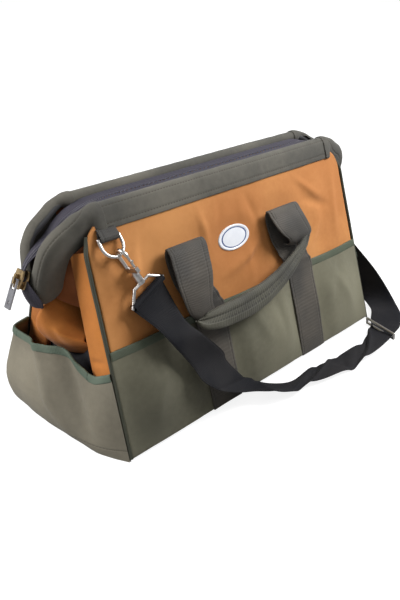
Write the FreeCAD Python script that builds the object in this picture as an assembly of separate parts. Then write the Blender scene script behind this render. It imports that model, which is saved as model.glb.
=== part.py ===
"""Tool organizer bag with a hinged gate mouth, in millimetres.

Frame of the part: X runs along the bag, the front is at -Y, Z is up, and the
origin lies on the floor under the middle of the base.

The front and back walls are drawn standing upright in a space of their own:
x along the bag, y inward from the outer cloth face, z up the wall from the
hinge line at the base edge. on_front and on_back lean a drawing inward and
put it on its side of the bag.
"""
import FreeCAD, Part
import math
import os

V = FreeCAD.Vector

# Whole bag
bag_length = 460.0
bag_depth = 218.0
wall_taper_share = 0.0364
fit_gap = 0.3
overrun = 2.0

# Cloth, webbing and boards
wall_thickness = 3.0
pocket_cloth = 2.0
hem_cloth = 0.8
hem_width = 9.0
webbing = 2.0
webbing_width = 50.0
piping_diameter = 4.4

# Base and ends
base_thickness = 3.0
board_thickness = 3.0
end_panel_thickness = 3.0
end_panel_height = 110.0
end_panel_inset = 11.5

# Walls and their pockets
wall_rise = 261.5
wall_corner = 48.0
wall_foot = 4.4
front_pocket_rise = 123.4

# End pockets
end_pocket_height = 94.0
end_pocket_bulge = 42.0

# Inside organizer pockets
organizer_height = 95.0
organizer_foot = 14.0
organizer_length = 396.0
organizer_depth = 14.0
organizer_cloth = 1.6
organizer_count = 3
organizer_gusset = 10.0

# Mouth frames
mouth_half = 24.26
tube_stand = 7.5
tube_inset = 6.5
tube_diameter = 10.0
tube_wall = 1.2
pin_height_share = 0.64607
pin_stand = 25.0
shoulder_inset = 7.0
shoulder_share = 0.7052
top_corner_inset = 45.0
shoulder_bend = 22.0
top_bend = 40.0
tip_length = 34.0
tip_width = 10.0
tip_thickness = 2.4
rivet_diameter = 4.0
rivet_head = 7.0
rivet_head_height = 1.6

# Sleeves and zipper
sleeve_cloth = 1.6
sleeve_clearance = 0.6
sleeve_drop = 22.0
corner_drop = 11.0
sleeve_lip_share = 0.45
sleeve_wrap_shares = (0.6, 0.2, 0.4, 0.8, 0.75)
sleeve_end_inset = 12.0
zipper_tape = 1.0
zipper_tooth_height = 2.8
zipper_tooth_width = 2.2
zipper_centre_gap = 0.4
zipper_sag = 16.0
zipper_edge_gap = 0.26
zipper_low_half = 3.0
slider_length = 20.0
slider_width = 14.0
slider_plate = 2.0
slider_height = 8.4
slider_rise = 31.0
slider_slope = 25.4
slider_nose_share = 0.6
slider_tail_share = 0.8
slider_waist_share = 0.3
slider_wedge_share = 0.2
slider_wedge_end_share = 0.55
slider_eye_share = 1.2
slider_wall_share = 0.6
pull_neck_share = 0.4
pull_tab_share = 0.35
pull_slot_share = 0.8
chain_foot_share = 0.1
chain_top_share = 0.8
chain_shares = (0.7, 0.8, 2.6)
tape_spread_shares = (1.15, 0.5, 0.7, 0.9)
pull_length = 32.0
pull_width = 8.0
pull_thickness = 1.8

# Gussets
leaf_width = 35.0
leaf_thickness = 2.4
leaf_tuck = 40.0
leaf_drop = 33.5
fold_thickness = 3.0
fold_tuck = 14.0
fold_drop = 9.0
fold_half = 46.0
fold_draw = 26.0
leaf_shares = (0.0, 0.35, 0.7, 1.0)
leaf_taper_share = 0.25
fold_ridge_shares = ((-1.0, 0.32), (-0.5, 0.08), (0.0, 0.0), (0.5, 0.08), (1.0, 0.32))

# Handles
left_web_place = -77.0
right_web_place = 95.0
left_loop_place = -100.0
right_loop_place = 69.0
loop_height = 79.0
loop_stand = 9.0
loop_radius = 5.0
grip_width = 27.0
grip_thickness = 7.0
grip_left = (-98.0, 121.0)
grip_middle = (-30.0, 114.0)
grip_right = (88.0, 144.0)
grip_shoulder_share = 0.8
grip_inner_shares = (0.65, 0.9, 0.45)

# Badge
badge_width = 54.0
badge_height = 30.0
badge_place = -12.0
badge_rise = 191.5
badge_thickness = 1.0

# Clips at the ends of the shoulder strap
tab_place = -190.0
tab_drop = 7.0
tab_width = 22.6
tab_cloth = 1.6
ring_wire = 3.6
ring_width = 27.0
ring_side = 8.0
ring_tilt = 20.0
left_clip_lean = 24.0
right_clip_lean = -35.0
hook_wire = 4.4
hook_play = 0.5
hook_radius = 7.2
hook_side = 16.0
hook_base_height = 6.0
barrel_diameter = 9.0
barrel_length = 8.0
stem_diameter = 4.0
stem_length = 7.0
gate_wire = 3.0
strap_ring_width = 56.0
strap_ring_height = 14.0
strap_ring_top_share = 0.45
neck_share = 0.64

# Shoulder strap
strap_width = 50.0
strap_thickness = 1.8
adjuster_share = 0.6

# Derived values
half_length = bag_length / 2
half_depth = bag_depth / 2
panel_half = half_length - piping_diameter
tube_rise = wall_rise + tube_stand
wall_lean = math.degrees(math.asin((half_depth - mouth_half) / math.hypot(tube_rise, tube_inset))
                         - math.atan2(tube_inset, tube_rise))
lean_cos = math.cos(math.radians(wall_lean))
lean_sin = math.sin(math.radians(wall_lean))
lean_tan = lean_sin / lean_cos
pin_reach = half_length + pin_stand
shoulder_reach = pin_reach - shoulder_inset
top_corner_reach = shoulder_reach - top_corner_inset
sleeve_end_reach = top_corner_reach - sleeve_end_inset
loop_rise = front_pocket_rise + loop_height
tab_rise = tube_rise - sleeve_drop - tab_drop
tube_y = -half_depth + tube_rise * lean_sin + tube_inset * lean_cos
tube_z = tube_rise * lean_cos - tube_inset * lean_sin
pin_height = tube_z * pin_height_share
frame_rise = math.hypot(tube_y, tube_z - pin_height)
frame_tilt = math.degrees(math.atan2(-tube_y, tube_z - pin_height))
shoulder_rise = frame_rise * shoulder_share
leaf_foot = end_panel_height - leaf_tuck
leaf_top = wall_rise - leaf_drop
fold_foot = end_panel_height - fold_tuck
fold_top = pin_height - fold_drop
zipper_half = mouth_half - tube_diameter / 2 - sleeve_clearance - sleeve_cloth - zipper_edge_gap
slider_half = slider_length / 2
slider_reach = (pin_reach + tube_diameter / 2 + sleeve_clearance + sleeve_cloth + slider_height / 2
                + slider_half * math.sin(math.radians(slider_slope)))

X_AXIS = V(1, 0, 0)
Y_AXIS = V(0, 1, 0)
Z_AXIS = V(0, 0, 1)
ORIGIN = V(0, 0, 0)


def turned(shape, axis, angle, centre=ORIGIN):
    """A copy of the shape, rotated about an axis through a point."""
    copy = shape.copy()
    copy.rotate(centre, axis, angle)
    return copy


def moved(shape, x, y, z):
    """A copy of the shape, moved."""
    copy = shape.copy()
    copy.translate(V(x, y, z))
    return copy


def on_front(shape):
    """Lean a wall drawing inward and stand it on the front base edge."""
    return moved(turned(shape, X_AXIS, -wall_lean), 0, -half_depth, 0)


def on_back(shape):
    """The same, turned half round to the back of the bag."""
    return turned(on_front(shape), Z_AXIS, 180)


def wall_point(x, y, z, side):
    """A point drawn upright on a wall, put on the front or the back of the bag."""
    at = on_front(Part.Vertex(x, y, z)).Point
    return V(at.x, -side * at.y, at.z)


def face_of(points):
    """A flat face inside a closed outline."""
    return Part.Face(Part.makePolygon(list(points) + [points[0]]))


def slab(x0, x1, y0, y1, z0, z1):
    """A plain block between two corners."""
    return Part.makeBox(x1 - x0, y1 - y0, z1 - z0, V(x0, y0, z0))


def rod(start, end, radius):
    """A round bar between two points."""
    axis = end - start
    return Part.makeCylinder(radius, axis.Length, start, axis)


def lofted(sections):
    """A solid through closed outlines with the same number of corners."""
    wires = [Part.makePolygon(list(points) + [points[0]]) for points in sections]
    return Part.makeLoft(wires, True, True)


def band_sections(stations, thickness):
    """Outlines across a strip of cloth, one for each pair of edge points."""
    middles = [(a + b) * 0.5 for a, b in stations]
    sections = []
    for index, (a, b) in enumerate(stations):
        before = middles[max(index - 1, 0)]
        after = middles[min(index + 1, len(middles) - 1)]
        normal = (after - before).cross(b - a)
        half = normal.normalize() * (thickness / 2)
        sections.append([a - half, b - half, b + half, a + half])
    return sections


def band(stations, thickness):
    """A strip of cloth through pairs of edge points, one pair a station."""
    return lofted(band_sections(stations, thickness))


def rounded_path(points, radii):
    """A wire of straight runs joined by tangent arcs at the inner points."""
    edges = []
    start = points[0]
    for index in range(1, len(points) - 1):
        corner = points[index]
        back = (points[index - 1] - corner).normalize()
        ahead = (points[index + 1] - corner).normalize()
        half_angle = back.getAngle(ahead) / 2
        reach = radii[index - 1] / math.tan(half_angle)
        enter = corner + back * reach
        leave = corner + ahead * reach
        bisector = (back + ahead).normalize()
        centre = corner + bisector * (radii[index - 1] / math.sin(half_angle))
        middle = centre - bisector * radii[index - 1]
        edges.append(Part.LineSegment(start, enter).toShape())
        edges.append(Part.Arc(enter, middle, leave).toShape())
        start = leave
    edges.append(Part.LineSegment(start, points[-1]).toShape())
    return Part.Wire(edges)


def swept(path, start, along, radius):
    """A round bar along a wire."""
    circle = Part.Wire([Part.makeCircle(radius, start, along)])
    return path.makePipeShell([circle], True, False)


def panel_outline(half_bottom, half_top, foot, rise, y):
    """Corners of a wall panel, drawn upright at depth y."""
    return [V(-half_bottom, y, foot), V(half_bottom, y, foot), V(half_top, y, rise), V(-half_top, y, rise)]


def half_at(rise):
    """Half the length of a wall panel at a height up the wall."""
    return panel_half - wall_taper_share * rise


def wall_panel():
    """Canvas wall with its stiff lining, top corners rounded."""
    outline = panel_outline(half_at(wall_foot), half_at(wall_rise), wall_foot, wall_rise, 0)
    panel = face_of(outline).extrude(V(0, wall_thickness, 0))
    corners = [edge for edge in panel.Edges
               if abs(edge.CenterOfMass.y - wall_thickness / 2) < wall_thickness / 10
               and edge.CenterOfMass.z > wall_rise / 2]
    return panel.makeFillet(wall_corner, corners)


def wall_pocket():
    """Outer pocket panel over the lower half of a wall."""
    outline = panel_outline(half_at(wall_foot), half_at(front_pocket_rise), wall_foot, front_pocket_rise, -pocket_cloth)
    return face_of(outline).extrude(V(0, pocket_cloth, 0))


def wall_pocket_hem():
    """Binding folded over the pocket's top edge."""
    half = half_at(front_pocket_rise)
    outer = -pocket_cloth - hem_cloth
    foot = front_pocket_rise - hem_width
    top = front_pocket_rise + hem_cloth
    profile = [V(-half, outer, foot), V(-half, -pocket_cloth, foot), V(-half, -pocket_cloth, front_pocket_rise),
               V(-half, 0, front_pocket_rise), V(-half, 0, top), V(-half, outer, top)]
    return face_of(profile).extrude(V(2 * half, 0, 0))


def wall_pipings():
    """Corded piping up both vertical edges of a wall."""
    radius = piping_diameter / 2
    bars = []
    for side in (-1, 1):
        foot = V(side * (half_at(wall_foot) + radius + fit_gap / 3), radius / 2, wall_foot)
        top = V(side * (half_at(leaf_top) + radius + fit_gap / 3), radius / 2, leaf_top)
        bars.append(rod(foot, top, radius))
    return Part.makeCompound(bars)


def web_strap(web_place, loop_place):
    """Webbing sewn up the pocket panel, then free, up and over the loop."""
    half = webbing_width / 2
    sewn = -pocket_cloth - webbing / 2
    over_hem = sewn - hem_cloth
    hem_foot = front_pocket_rise - hem_width
    inner = -loop_stand + loop_radius
    places = [(web_place, sewn, wall_foot), (web_place, sewn, hem_foot - hem_width / 2),
              (web_place, over_hem, hem_foot - hem_width / 6), (web_place, over_hem, front_pocket_rise + hem_cloth),
              ((web_place + loop_place) / 2, inner, (front_pocket_rise + loop_rise) / 2)]
    for step in range(5):
        angle = math.radians(45 * step)
        places.append((loop_place, -loop_stand + loop_radius * math.cos(angle),
                       loop_rise + loop_radius * math.sin(angle)))
    stations = [(V(x - half, y, z), V(x + half, y, z)) for x, y, z in places]
    return band(stations, webbing)


def carry_handle():
    """Two legs of webbing and the folded grip, hanging down in front."""
    outer_face = -loop_stand - loop_radius - webbing * 1.5 - fit_gap
    half = webbing_width / 2
    half_grip = grip_width / 2
    top = loop_rise + loop_radius / 3
    left_x, left_z = grip_left
    middle_x, middle_z = grip_middle
    right_x, right_z = grip_right
    outline = [V(left_loop_place - half, outer_face, top), V(left_x - half, outer_face, left_z + grip_width),
               V(left_x - half, outer_face, left_z), V(left_x, outer_face, left_z - half_grip),
               V(middle_x, outer_face, middle_z - half_grip), V(right_x, outer_face, right_z - half_grip),
               V(right_x + half, outer_face, right_z), V(right_x + half, outer_face, right_z + grip_width),
               V(right_loop_place + half, outer_face, top), V(right_loop_place - half, outer_face, top),
               V(right_x - half, outer_face, right_z + 2 * half_grip * grip_shoulder_share), V(middle_x, outer_face, middle_z + half_grip),
               V(left_x + half, outer_face, left_z + 2 * half_grip * grip_inner_shares[0]), V(left_loop_place + half, outer_face, top)]
    legs = face_of(outline).extrude(V(0, webbing, 0))
    front = outer_face + webbing - grip_thickness
    grip_stations = []
    for x, z in (grip_left, grip_middle, grip_right):
        grip_stations.append([V(x, outer_face + webbing, z - half_grip), V(x, front + webbing, z - half_grip * grip_inner_shares[1]),
                              V(x, front, z - half_grip / 2), V(x, front, z + half_grip / 2),
                              V(x, front + webbing, z + half_grip * grip_inner_shares[1]), V(x, outer_face + webbing, z + half_grip)])
    return legs.fuse(lofted(grip_stations)).removeSplitter()


def badge():
    """Oval badge, plain and slightly domed at its rim."""
    ellipse = Part.Ellipse(V(badge_place, 0, badge_rise), badge_width / 2, badge_height / 2)
    disc = Part.Face(Part.Wire([ellipse.toShape()]))
    disc.rotate(V(badge_place, 0, badge_rise), X_AXIS, 90)
    plate = disc.extrude(V(0, -badge_thickness, 0))
    rim = [edge for edge in plate.Edges if edge.CenterOfMass.y < -badge_thickness / 2]
    return plate.makeChamfer(badge_thickness / 2, rim)


def ring_tab():
    """Webbing tab folded round the bar of a D-ring, sewn under the sleeve."""
    bore = ring_wire / 2 + fit_gap
    roll = bore + tab_cloth
    half = tab_width / 2
    bar_y = -roll
    roller = rod(V(-half, bar_y, 0), V(half, bar_y, 0), roll)
    tail = slab(-half, half, -2 * tab_cloth, 0, 0, tube_rise - sleeve_drop - fit_gap - tab_rise)
    hole = rod(V(-half - overrun, bar_y, 0), V(half + overrun, bar_y, 0), bore)
    shape = roller.fuse(tail).cut(hole).removeSplitter()
    return moved(shape, tab_place, 0, tab_rise)


ring_bar_y = -(ring_wire / 2 + fit_gap + tab_cloth)
ring_bow = ring_width / 2


def hung(shape):
    """Hang a piece from the tab's bar, tilted out from the wall."""
    return moved(turned(shape, X_AXIS, -ring_tilt), tab_place, ring_bar_y, tab_rise)


def d_ring():
    """Bent wire ring with a straight bar."""
    half = ring_bow
    radius = ring_wire / 2
    low = -ring_side
    bar = rod(V(-half, 0, 0), V(half, 0, 0), radius)
    sides = [rod(V(side * half, 0, 0), V(side * half, 0, low), radius) for side in (-1, 1)]
    bow = Part.makeTorus(half, radius, V(0, 0, low), Y_AXIS)
    keep = slab(-2 * half, 2 * half, -half, half, low - 2 * half, low)
    corners = [Part.makeSphere(radius, V(side * half, 0, 0)) for side in (-1, 1)]
    ring = bar.multiFuse(sides + corners + [bow.common(keep)]).removeSplitter()
    return hung(ring)


def clip_point(clip_lean):
    """Where the hook bears on the bow of the ring."""
    lean = math.radians(clip_lean)
    seat = V(ring_bow * math.sin(lean), 0, -ring_side - ring_bow * math.cos(lean))
    return hung(Part.Vertex(seat)).Point


def clipped(shape, clip_lean):
    """Hang a piece drawn below the hook's centre from the bow of the ring."""
    seat = hook_radius - hook_wire / 2 - ring_wire / 2 - hook_play
    leaned = turned(moved(shape, 0, 0, -seat), Y_AXIS, -clip_lean)
    at = clip_point(clip_lean)
    return moved(leaned, at.x, at.y, at.z)


def snap_hook(clip_lean):
    """Cast hook: spine, crook and base with the swivel barrel."""
    radius = hook_wire / 2
    crook = Part.makeTorus(hook_radius, radius, ORIGIN, X_AXIS)
    keep = slab(-hook_radius, hook_radius, -2 * hook_radius, 2 * hook_radius, 0, 2 * hook_radius)
    spine = rod(V(0, hook_radius, 0), V(0, hook_radius, -hook_side), radius)
    base = slab(-radius, radius, -hook_radius - radius, hook_radius + radius,
                -hook_side - hook_base_height, -hook_side)
    neck = Part.makeCone(hook_wire * neck_share, barrel_diameter / 2, hook_base_height / 2,
                         V(0, 0, -hook_side - hook_base_height), V(0, 0, -1))
    barrel_top = -hook_side - hook_base_height * 1.5
    barrel = rod(V(0, 0, barrel_top), V(0, 0, barrel_top - barrel_length), barrel_diameter / 2)
    bore = rod(V(0, 0, barrel_top), V(0, 0, barrel_top - barrel_length - overrun), stem_diameter / 2 + fit_gap)
    shape = spine.multiFuse([crook.common(keep), base, neck, barrel]).cut(bore).removeSplitter()
    return clipped(shape, clip_lean)


def hook_gate(clip_lean):
    """Sprung gate that closes the hook, with a thumb stud."""
    top = V(0, -hook_radius, -fit_gap)
    foot = V(0, -hook_radius, -hook_side + fit_gap + gate_wire / 2)
    stud_at = (top + foot) * 0.5
    gate = rod(foot, top, gate_wire / 2).fuse(Part.makeSphere(gate_wire / 2, foot))
    stud = rod(stud_at, stud_at - V(0, gate_wire, 0), gate_wire / 2)
    return clipped(gate.fuse(stud).removeSplitter(), clip_lean)


def strap_ring(clip_lean):
    """Wire loop for the strap with the stem that turns in the hook's barrel."""
    radius = ring_wire / 2
    half = strap_ring_width / 2 - radius
    barrel_end = -hook_side - hook_base_height * 1.5 - barrel_length
    top = barrel_end - fit_gap - ring_wire
    low = top - strap_ring_height
    stem = rod(V(0, 0, top), V(0, 0, barrel_end + stem_length), stem_diameter / 2)
    collar = rod(V(0, 0, barrel_end - fit_gap), V(0, 0, top - radius / 3), barrel_diameter / 2)
    corners = [V(-half * strap_ring_top_share, 0, top), V(half * strap_ring_top_share, 0, top), V(half, 0, low), V(-half, 0, low)]
    bars = [rod(corners[i], corners[(i + 1) % 4], radius) for i in range(4)]
    balls = [Part.makeSphere(radius, corner) for corner in corners]
    shape = stem.multiFuse([collar] + bars + balls).removeSplitter()
    return clipped(shape, clip_lean)


def strap_ring_bar_z():
    """Height of the strap bar below the hook's centre."""
    return -hook_side - hook_base_height * 1.5 - barrel_length - fit_gap - ring_wire - strap_ring_height


def long_sleeve():
    """Dark band along the mouth: a tunnel round the tube and a flap below."""
    bore = tube_diameter / 2 + sleeve_clearance
    outer = bore + sleeve_cloth
    reach = sleeve_end_reach
    tunnel = rod(V(-reach, tube_inset, tube_rise), V(reach, tube_inset, tube_rise), outer)
    flap_face = tube_inset - outer
    flap = slab(-reach, reach, -sleeve_cloth, 0, tube_rise - sleeve_drop, tube_rise)
    hole = rod(V(-reach - overrun, tube_inset, tube_rise), V(reach + overrun, tube_inset, tube_rise), bore)
    shape = tunnel.fuse(flap).cut(hole)
    return shape.removeSplitter()


def frame_point(x, rise, side, inset=0.0):
    """A point of a mouth frame, a distance up its tilted plane."""
    tilt = math.radians(frame_tilt)
    y = side * rise * math.sin(tilt)
    z = pin_height + rise * math.cos(tilt)
    return V(x, y + side * inset * math.cos(tilt), z - inset * math.sin(tilt))


def frame_tube(side, tip_reach):
    """Bent tube with flattened tips that stack on the hinge rivets."""
    rise = frame_rise
    knots = []
    for x, r in ((-pin_reach, tip_length - tip_width / 2), (-shoulder_reach, shoulder_rise),
                 (-top_corner_reach, rise), (top_corner_reach, rise),
                 (shoulder_reach, shoulder_rise), (pin_reach, tip_length - tip_width / 2)):
        knots.append(frame_point(x, r, side))
    path = rounded_path(knots, [shoulder_bend, top_bend, top_bend, shoulder_bend])
    along = (knots[1] - knots[0]).normalize()
    outer = swept(path, knots[0], along, tube_diameter / 2)
    inner = swept(path, knots[0], along, tube_diameter / 2 - tube_wall)
    tube = outer.cut(inner)
    tips = []
    for end in (-1, 1):
        x0 = end * tip_reach
        x1 = end * (tip_reach + tip_thickness)
        low_x, high_x = min(x0, x1), max(x0, x1)
        blade = slab(low_x, high_x, -tip_width / 2, tip_width / 2, 0, tip_length + tip_width / 2)
        nose = rod(V(low_x, 0, 0), V(high_x, 0, 0), tip_width / 2)
        hole = rod(V(low_x - overrun, 0, 0), V(high_x + overrun, 0, 0), rivet_diameter / 2)
        tip = blade.fuse(nose).cut(hole)
        tips.append(moved(turned(tip, X_AXIS, -side * frame_tilt), 0, 0, pin_height))
    return tube.multiFuse(tips).removeSplitter()


front_tip_reach = pin_reach + fit_gap / 2
back_tip_reach = pin_reach - fit_gap / 2 - tip_thickness


def rivet_halves(outside):
    """Heads on the outer tips or tails on the inner tips, with their pins."""
    pieces = []
    for end in (-1, 1):
        if outside:
            face = end * (front_tip_reach + tip_thickness)
            pin_start = end * front_tip_reach
            cap = face + end * rivet_head_height
        else:
            face = end * back_tip_reach
            pin_start = end * (back_tip_reach + tip_thickness)
            cap = face - end * rivet_head_height
        head = rod(V(face, 0, pin_height), V(cap, 0, pin_height), rivet_head / 2)
        pin = rod(V(pin_start, 0, pin_height), V(face, 0, pin_height), rivet_diameter / 2)
        pieces.append(head.fuse(pin).removeSplitter())
    return Part.makeCompound(pieces)


def arm_sleeves(side):
    """Sleeve cloth down both arms of a mouth frame, one flap an arm."""
    outer = tube_diameter / 2 + sleeve_clearance + sleeve_cloth
    rim, top, turn, edge, cloth = sleeve_wrap_shares
    inner = outer - sleeve_cloth * cloth
    flap_face = outer + fit_gap * 2
    wall_clear = fit_gap * 3
    corner_stop = 3
    tilt = math.radians(frame_tilt)
    across = V(0, side * math.cos(tilt), -math.sin(tilt))
    stops = [(pin_reach, webbing), (pin_reach, tip_length), (shoulder_reach, shoulder_rise),
             ((shoulder_reach + top_corner_reach) / 2, (shoulder_rise + frame_rise) / 2),
             (top_corner_reach, frame_rise), (sleeve_end_reach + fit_gap, frame_rise)]
    pieces = []
    for end in (-1, 1):
        sections = []
        for index, (x, rise) in enumerate(stops):
            centre = frame_point(end * x, rise, side)
            before = stops[max(index - 1, 0)]
            after = stops[min(index + 1, len(stops) - 1)]
            run_x = before[0] - after[0]
            run_rise = after[1] - before[1]
            run = math.hypot(run_x, run_rise)
            out_rise = run_x / run
            out = V(end * run_rise / run, side * out_rise * math.sin(tilt), out_rise * math.cos(tilt))
            lip = min(outer * sleeve_lip_share, rise * math.sin(tilt) - fit_gap)
            profile = [(outer, -lip), (outer, outer * rim), (outer * top, flap_face + sleeve_cloth),
                       (-sleeve_drop, flap_face + sleeve_cloth), (-sleeve_drop, flap_face),
                       (0, flap_face), (inner, outer * turn), (inner, -lip)]
            if index == corner_stop:
                profile[3] = (-corner_drop, flap_face + sleeve_cloth)
                profile[4] = (-corner_drop, flap_face)
            section = [centre + out * a + across * b for a, b in profile]
            if x <= top_corner_reach:
                for corner, depth, drop in ((2, sleeve_cloth, outer * edge), (3, sleeve_cloth, sleeve_drop),
                                            (4, 0, sleeve_drop), (5, 0, outer * edge)):
                    section[corner] = wall_point(end * x, -wall_clear - depth, tube_rise - drop, side)
            sections.append(section)
        pieces.append(lofted(sections))
    return Part.makeCompound(pieces)


def zipper_chain():
    """Points of the mouth's centre line, from the left slider to the right end."""
    slope = math.radians(slider_slope)
    corner, bend, level = [zipper_sag * share for share in chain_shares]
    half = []
    for share in (chain_foot_share, chain_top_share):
        along = slider_length * share
        half.append((slider_reach - along * math.sin(slope), pin_height + slider_rise + along * math.cos(slope)))
    half += [(shoulder_reach - zipper_sag, pin_height + shoulder_rise - webbing),
             (top_corner_reach + corner, tube_z - corner),
             (top_corner_reach - bend, tube_z - webbing),
             (top_corner_reach - level, tube_z + zipper_tape)]
    return [(-x, z) for x, z in half] + half[::-1]


def zipper_teeth(side):
    """Coil of teeth along the inner edge of a tape."""
    near = side * zipper_centre_gap / 2
    far = side * (zipper_centre_gap / 2 + zipper_tooth_width)
    return band([(V(x, near, z), V(x, far, z)) for x, z in zipper_chain()], zipper_tooth_height)


def zipper_tapes(side):
    """Woven tape from the teeth out to the sleeve."""
    near = side * (zipper_centre_gap / 2 + zipper_tooth_width)
    low, out_share, mid, high = tape_spread_shares
    spread = [(0, 0, zipper_low_half), (0, 0, zipper_low_half * low), (zipper_sag * out_share, 0, zipper_half * mid),
              (webbing, webbing, zipper_half * high), (0, webbing, zipper_half), (0, 0, zipper_half)]
    pairs = []
    for index, (x, z) in enumerate(zipper_chain()):
        out, up, half = spread[min(index, 2 * len(spread) - 1 - index)]
        reach = x + math.copysign(out, x)
        pairs.append((V(x, near, z), V(reach, side * half, z + up)))
    return band(pairs, zipper_tape)


def slider_at():
    """Centre of the zipper slider at the left end of the mouth."""
    return V(-slider_reach, 0, pin_height + slider_rise)


def slider_placed(shape):
    """Put a piece drawn lying along Z on the sloping end of the zipper."""
    at = slider_at()
    return moved(turned(shape, Y_AXIS, slider_slope), at.x, at.y, at.z)


def zipper_slider():
    """Two winged plates joined by a wedge, with a bridge for the pull."""
    half_width = slider_width / 2
    face = slider_height / 2
    nose, tail, waist = half_width * slider_nose_share, half_width * slider_tail_share, slider_half * slider_waist_share
    wedge_half = half_width * slider_wedge_share
    wall = slider_plate * slider_wall_share
    eye_x = -face - slider_plate * slider_eye_share
    outline = [V(0, -nose, -slider_half), V(0, nose, -slider_half), V(0, half_width, waist), V(0, tail, slider_half),
               V(0, -tail, slider_half), V(0, -half_width, waist)]
    plate = face_of(outline).extrude(V(slider_plate, 0, 0))
    top = moved(plate, -face, 0, 0)
    bottom = moved(plate, face - slider_plate, 0, 0)
    wedge = slab(-face, face, -wedge_half, wedge_half, -slider_half, -slider_half * slider_wedge_end_share)
    lug = slab(2 * eye_x + face, -face, -wall, wall, -slider_half / 2, slider_half / 2)
    eye = rod(V(eye_x, -half_width, 0), V(eye_x, half_width, 0), wall)
    return slider_placed(top.multiFuse([bottom, wedge, lug]).cut(eye).removeSplitter())


def zipper_pull():
    """Flat metal tab with a wire eye through the slider's bridge."""
    axis_x = -slider_height / 2 - slider_plate * slider_eye_share
    pin_radius = slider_plate * slider_wall_share - fit_gap
    half_eye = pull_width / 2
    outer, inner = axis_x - pull_thickness / 2, axis_x + pull_thickness / 2
    pin = rod(V(axis_x, -half_eye, 0), V(axis_x, half_eye, 0), pin_radius)
    arms = []
    for side in (-1, 1):
        arms.append(slab(outer, inner, side * half_eye - pin_radius, side * half_eye + pin_radius,
                         -pull_length * pull_neck_share, pin_radius))
    tab = slab(outer, inner, -half_eye - pin_radius, half_eye + pin_radius, -pull_length, -pull_length * pull_tab_share)
    slot_z = -pull_length * pull_slot_share
    slot = rod(V(axis_x - pull_thickness, 0, slot_z), V(axis_x + pull_thickness, 0, slot_z), half_eye * pull_neck_share)
    return slider_placed(pin.multiFuse(arms + [tab]).cut(slot).removeSplitter())


def base_plate():
    """Cloth bottom of the bag."""
    plate = slab(-half_length, half_length, -half_depth, half_depth, 0, base_thickness)
    return plate


def base_board():
    """Stiff board that lies on the bottom between the walls."""
    top = base_thickness + board_thickness
    half_y = half_depth - wall_thickness / lean_cos - top * lean_tan - fit_gap
    half_x = half_length - end_panel_inset - end_panel_thickness - fit_gap
    return slab(-half_x, half_x, -half_y, half_y, base_thickness, top)


def end_panel(end):
    """Lower, fixed part of an end wall, inside the end pocket."""
    inner_low = half_depth - wall_thickness / lean_cos - base_thickness * lean_tan - fit_gap
    inner_high = half_depth - wall_thickness / lean_cos - end_panel_height * lean_tan - fit_gap
    outer = end * (half_length - end_panel_inset)
    outline = [V(outer, -inner_low, base_thickness), V(outer, inner_low, base_thickness),
               V(outer, inner_high, end_panel_height), V(outer, -inner_high, end_panel_height)]
    return face_of(outline).extrude(V(-end * end_panel_thickness, 0, 0))


pocket_foot_shares = [(-1.0, 0.0), (-0.82, 0.45), (-0.6, 0.75), (-0.15, 0.95), (0.3, 1.0), (0.75, 0.85),
                      (0.95, 0.5), (1.0, 0.0)]
pocket_rim_shares = [(-1.0, 0.0), (-0.82, 0.08), (-0.6, 0.2), (-0.15, 0.8), (0.3, 1.0), (0.75, 0.95),
                     (0.95, 0.6), (1.0, 0.0)]
pocket_bulge_shares = [(0.0, 0.48), (0.14, 0.76), (0.45, 1.0), (1.0, 0.74), (1.35, 0.68)]
pocket_line_shares = [(-1.05, 1.06), (-0.82, 0.96), (-0.62, 0.92), (-0.15, 1.17), (0.5, 1.17), (1.05, 1.12)]


def pocket_loft(cloth, foot):
    """The right end pocket's outer form, pulled in by a cloth thickness."""
    sections = []
    for height_share, bulge_share in pocket_bulge_shares:
        height = max(end_pocket_height * height_share, foot)
        half_y = half_depth - lean_tan * height - max(cloth, 0)
        edge = half_length + fit_gap - wall_taper_share * height
        reach = end_pocket_bulge * bulge_share
        rim = min(height_share, 1.0)
        outline = [V(edge - overrun * (cloth > 0), -half_y, height)]
        for low, high in zip(pocket_foot_shares, pocket_rim_shares):
            across = low[1] + (high[1] - low[1]) * rim
            outline.append(V(edge + max(reach * across - cloth, fit_gap / 3), half_y * low[0], height))
        outline.append(V(edge - overrun * (cloth > 0), half_y, height))
        sections.append(outline)
    return lofted(sections)


def above_line(offset):
    """Everything above the end pocket's rim line, moved up or down."""
    reach = half_length + 2 * end_pocket_bulge
    points = [V(0, half_depth * y, end_pocket_height * z + offset) for y, z in pocket_line_shares]
    over = half_depth * pocket_line_shares[-1][0]
    points = points + [V(0, over, 2 * end_pocket_height), V(0, -over, 2 * end_pocket_height)]
    return face_of(points).extrude(V(reach, 0, 0))


def at_end(shape, end):
    """Keep a drawing of the right end, or mirror it to the left end."""
    if end > 0:
        return shape
    return shape.mirror(ORIGIN, X_AXIS)


def end_pocket(end):
    """Open pocket that bellies out over an end of the bag."""
    shell = pocket_loft(0, 0).cut(pocket_loft(pocket_cloth, pocket_cloth)).cut(above_line(0))
    return at_end(shell, end)


def end_pocket_hem(end):
    """Binding along the rim of an end pocket."""
    ring = pocket_loft(-hem_cloth, 0).cut(pocket_loft(0, 0))
    strip = ring.common(above_line(-hem_width)).cut(above_line(0))
    return at_end(strip, end)


def gusset_leaf(end):
    """Folded strip of canvas beside the piping, drawn upright on a wall."""
    stations = []
    for share in leaf_shares:
        rise = leaf_foot + (leaf_top - leaf_foot) * share
        width = leaf_width * (1.0 - leaf_taper_share * share)
        near = half_at(rise) + fit_gap
        stations.append((V(end * near, wall_thickness + fit_gap * 2, rise),
                         V(end * (near + leaf_thickness), wall_thickness + width, rise)))
    return band(stations, leaf_thickness)


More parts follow.
